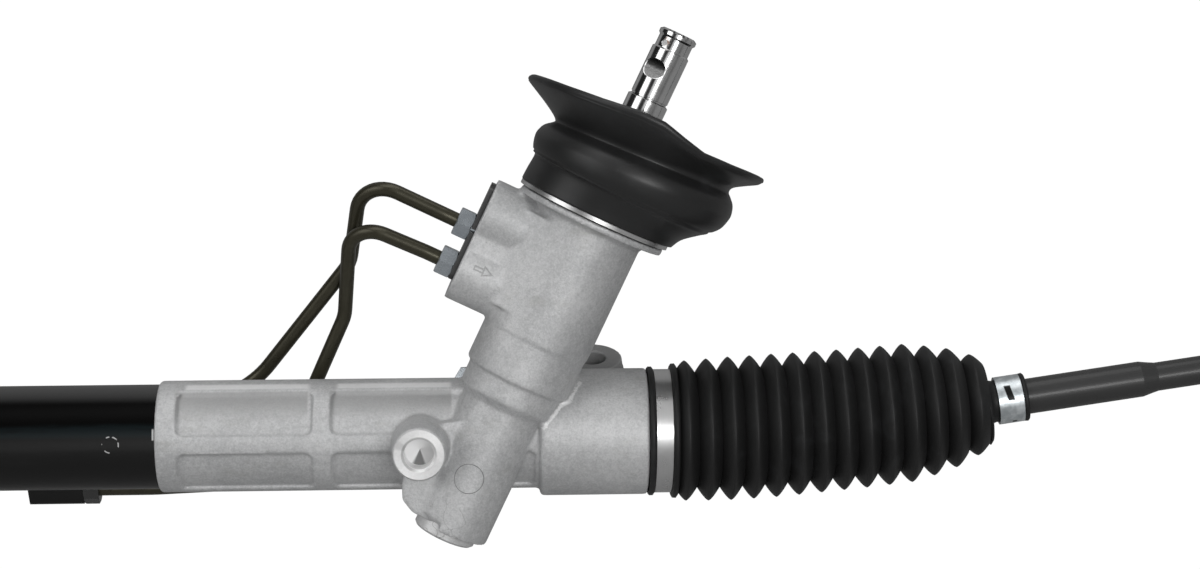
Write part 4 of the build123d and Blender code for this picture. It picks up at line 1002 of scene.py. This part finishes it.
def smooth_rings(rings, steps):
    """Rings filled in with a curve that passes through the given ones."""
    filled = []
    for index in range(len(rings) - 1):
        before = rings[max(0, index - 1)]
        here, after = rings[index], rings[index + 1]
        beyond = rings[min(len(rings) - 1, index + 2)]
        for step in range(steps):
            t = step / steps
            filled.append(tuple(
                0.5 * (2 * b + (c - a) * t + (2 * a - 5 * b + 4 * c - d) * t * t
                       + (3 * b - a - 3 * c + d) * t ** 3)
                for a, b, c, d in zip(before, here, after, beyond)))
    return filled + [rings[-1]]


def seal_ring(share, radius, shift, rise, count=192):
    """Points of one ring, tilted sideways and towards the rim, waving near it."""
    side_tilt = math.atan(rise / (2 * radius))
    near_tilt = math.radians(near_lean) * share ** 2
    points = []
    for step in range(count):
        angle = 2 * math.pi * step / count
        side, back = radius * math.cos(angle), radius * math.sin(angle)
        wave = between(rim_wave, side) * max(0.0, share - wave_start) / wave_span if back < 0 else 0.0
        wave *= min(1.0, abs(back) / 12)
        up = seal_foot + share * seal_height + side * math.sin(side_tilt)
        up += wave - back * math.sin(near_tilt)
        points.append(on_pinion(shift + side * math.cos(side_tilt), back * math.cos(near_tilt), up))
    return points


print("seal rings", len(seal_rings) + len(lip_rings) + len(collar_rings))

# %% Bulkhead seal
def bulkhead_seal():
    outside = smooth_rings(seal_rings, 5)
    crease = min(range(len(outside)), key=lambda index: abs(outside[index][0] - crease_place))
    share, radius, shift, rise = outside[crease]
    outside[crease] = (share, radius - crease_depth, shift, rise)
    inside = [(share, radius - seal_wall, shift, rise)
              for share, radius, shift, rise in reversed(outside[2:-1])]
    work = skin([seal_ring(*ring) for ring in (*outside, *lip_rings, *inside, *collar_rings)])
    return finish_piece("bulkhead_seal", work, "black_rubber", "housing", ("dash_seal",))


bulkhead_seal()
print("bulkhead seal made")

# %% [markdown]
# ## Threads on the tie rods
# The outer tie rod ends screw on here. A rolled thread is a ridge wound round the rod at 1.5 mm
# pitch, so a spiral line carries a small three-cornered profile.

# %% Rod threads
thread_radius, thread_depth = 6.92, 0.5
thread_length, thread_turns = 55.5, 37.0


def thread_group():
    tree, given, result = group_with("thread", [
        ("Radius", "Float"), ("Length", "Float"), ("Turns", "Float"), ("Depth", "Float"),
        ("Material", "Material")])
    spiral = tree_node(tree, "GeometryNodeCurveSpiral", {}, {
        "Resolution": 40, "Rotations": given.outputs["Turns"], "Start Radius": given.outputs["Radius"],
        "End Radius": given.outputs["Radius"], "Height": given.outputs["Length"]})
    corner = tree_node(tree, "GeometryNodeCurvePrimitiveCircle", {}, {
        "Resolution": 3, "Radius": given.outputs["Depth"]})
    ridge = tree_node(tree, "GeometryNodeCurveToMesh", {}, {
        "Curve": spiral.outputs[0], "Profile Curve": corner.outputs[0], "Fill Caps": True})
    joined = tree_node(tree, "GeometryNodeJoinGeometry")
    tree.links.new(given.outputs["Geometry"], joined.inputs[0])
    tree.links.new(ridge.outputs[0], joined.inputs[0])
    real = tree_node(tree, "GeometryNodeRealizeInstances", {}, {0: joined.outputs[0]})
    dressed = tree_node(tree, "GeometryNodeSetMaterial", {}, {
        "Geometry": real.outputs[0], "Material": given.outputs["Material"]})
    tree.links.new(dressed.outputs[0], result.inputs[0])
    return tree


thread_tree = thread_group()
for name in ("right_tie_rod_end", "left_tie_rod_end"):
    mount = mounts[name]
    start = Vector(mount["pos_m"]) - Vector(mount["axis"]) * (mount["dims"]["length_mm"] / 2) * MM
    mesh = grown(name, bpy.data.meshes.new(name), thread_tree, {
        "Radius": thread_radius * MM, "Length": thread_length * MM, "Turns": thread_turns,
        "Depth": thread_depth * MM, "Material": materials["black_paint"]})
    turn = Vector(mount["axis"]).to_track_quat("Z", "Y").to_matrix().to_4x4()
    mesh.transform(Matrix.Translation(start) @ turn)
    piece = placed(name[:-4] + "_thread", mesh)
    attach(piece, name.split("_")[0] + "_rod")
print("threads wound")

# %% [markdown]
# ## The floor
# A pale floor lies far under the part. The camera sees it almost white, and for all other light it
# is plain grey.

# %% Floor
def stage_plane(name, centre, across, over, material):
    work = bmesh.new()
    corners = [centre + across * a + over * b for a, b in ((-1, -1), (1, -1), (1, 1), (-1, 1))]
    work.faces.new([work.verts.new(corner) for corner in corners])
    plane = placed(name, mesh_of(name, work))
    plane.data.materials.append(material)
    return plane


def pale_floor():
    material = bpy.data.materials.new("pale_floor")
    material.use_nodes = True
    tree = material.node_tree
    tree.nodes.clear()
    ray = tree_node(tree, "ShaderNodeLightPath")
    soft = tree_node(tree, "ShaderNodeBsdfDiffuse", {}, {"Color": grey(0.4)})
    glow = tree_node(tree, "ShaderNodeEmission", {}, {"Strength": 1.07})
    factor = tree_node(tree, "ShaderNodeMath", {"operation": "MULTIPLY"}, {
        0: ray.outputs["Is Camera Ray"], 1: 0.94})
    mix = tree_node(tree, "ShaderNodeMixShader", {}, {
        0: factor.outputs[0], 1: soft.outputs[0], 2: glow.outputs[0]})
    tree_node(tree, "ShaderNodeOutputMaterial", {}, {"Surface": mix.outputs[0]})
    return material


floor_level = cad_box[0][2] - 0.12
stage_plane("pale_floor", Vector((0, 0, floor_level)), along_x * 6, Vector((0, 6, 0)), pale_floor())
print("floor laid at", floor_level)

# %% [markdown]
# ## The photo tent
# Metal needs something to mirror. The surround is white for the camera alone. What the part mirrors
# is a grey tent with upright cards, bright and dark in turn, as a photographer would stand them.

# %% Surround
card_levels = (
    (0.0, 0.30), (0.15, 0.30), (0.17, 0.02), (0.27, 0.02), (0.29, 0.95), (0.38, 0.95), (0.40, 0.04),
    (0.45, 0.04), (0.47, 0.85), (0.54, 0.75), (0.56, 0.2), (0.72, 0.34), (0.90, 0.30), (1.0, 0.30))


def studio_world():
    """White for the camera, and for reflections a grey tent with bright and dark upright cards."""
    world = bpy.data.worlds.new("studio")
    bpy.context.scene.world = world
    world.use_nodes = True
    sky = world.node_tree
    background = sky.nodes["Background"]
    ray = tree_node(sky, "ShaderNodeLightPath")
    way = tree_node(sky, "ShaderNodeTexCoord")
    parts = tree_node(sky, "ShaderNodeSeparateXYZ", {}, {0: way.outputs["Generated"]})
    front = tree_node(sky, "ShaderNodeMath", {"operation": "MULTIPLY"}, {0: parts.outputs[1], 1: -1.0})
    turn = tree_node(sky, "ShaderNodeMath", {"operation": "ARCTAN2"}, {
        0: parts.outputs[0], 1: front.outputs[0]})
    share = tree_node(sky, "ShaderNodeMapRange", {}, {
        "Value": turn.outputs[0], "From Min": -math.pi, "From Max": math.pi})
    cards = tree_node(sky, "ShaderNodeValToRGB", {}, {0: share.outputs[0]})
    ramp = cards.color_ramp
    for index, (position, level) in enumerate(card_levels):
        stop = ramp.elements[index] if index < 2 else ramp.elements.new(min(position, 0.999))
        stop.position = position
        stop.color = grey(level)
    height = tree_node(sky, "ShaderNodeMapRange", {"interpolation_type": "SMOOTHSTEP"}, {
        "Value": parts.outputs[2], "From Min": -0.35, "From Max": 0.05, "To Min": 0.10})
    tent = tree_node(sky, "ShaderNodeMix", {"data_type": "RGBA", "blend_type": "MULTIPLY"}, {
        0: 1.0, 6: cards.outputs[0], 7: height.outputs[0]})
    seen = tree_node(sky, "ShaderNodeMix", {"data_type": "RGBA"}, {
        0: ray.outputs["Is Camera Ray"], 6: tent.outputs[2], 7: grey(1.0)})
    sky.links.new(seen.outputs[2], background.inputs["Color"])


studio_world()
print("surround with", len(card_levels), "card edges")

# %% [markdown]
# ## The lamps
# A large soft box hangs above, a second one stands to the left, and a fill lamp in front lifts the
# shadows. Wide lamps give the soft light lines on the tube and the boots.

# %% Lamps
def lamp(name, place, target, width, height, power):
    data = bpy.data.lights.new(name, "AREA")
    data.shape = "RECTANGLE"
    data.size = width
    data.size_y = height
    data.energy = power
    holder = placed(name, data)
    holder.location = place
    holder.rotation_mode = "QUATERNION"
    holder.rotation_quaternion = (Vector(target) - Vector(place)).to_track_quat("-Z", "Y")
    return holder


lamp("top_softbox", (-0.1, 0.1, 1.5), (0, 0, 0), width=1.6, height=0.7, power=5.6)
lamp("left_softbox", (-1.3, -0.7, 0.9), (0, 0, 0.05), width=0.9, height=0.7, power=2.5)
lamp("front_fill", (0.5, -1.8, 0.9), (0, 0, 0), width=0.9, height=0.5, power=12.5)
print("lamps set")

# %% [markdown]
# ## The end
# The scene's colours are shown with the Standard view transform.

# %% View transform
scene = bpy.context.scene
scene.view_settings.view_transform = "Standard"
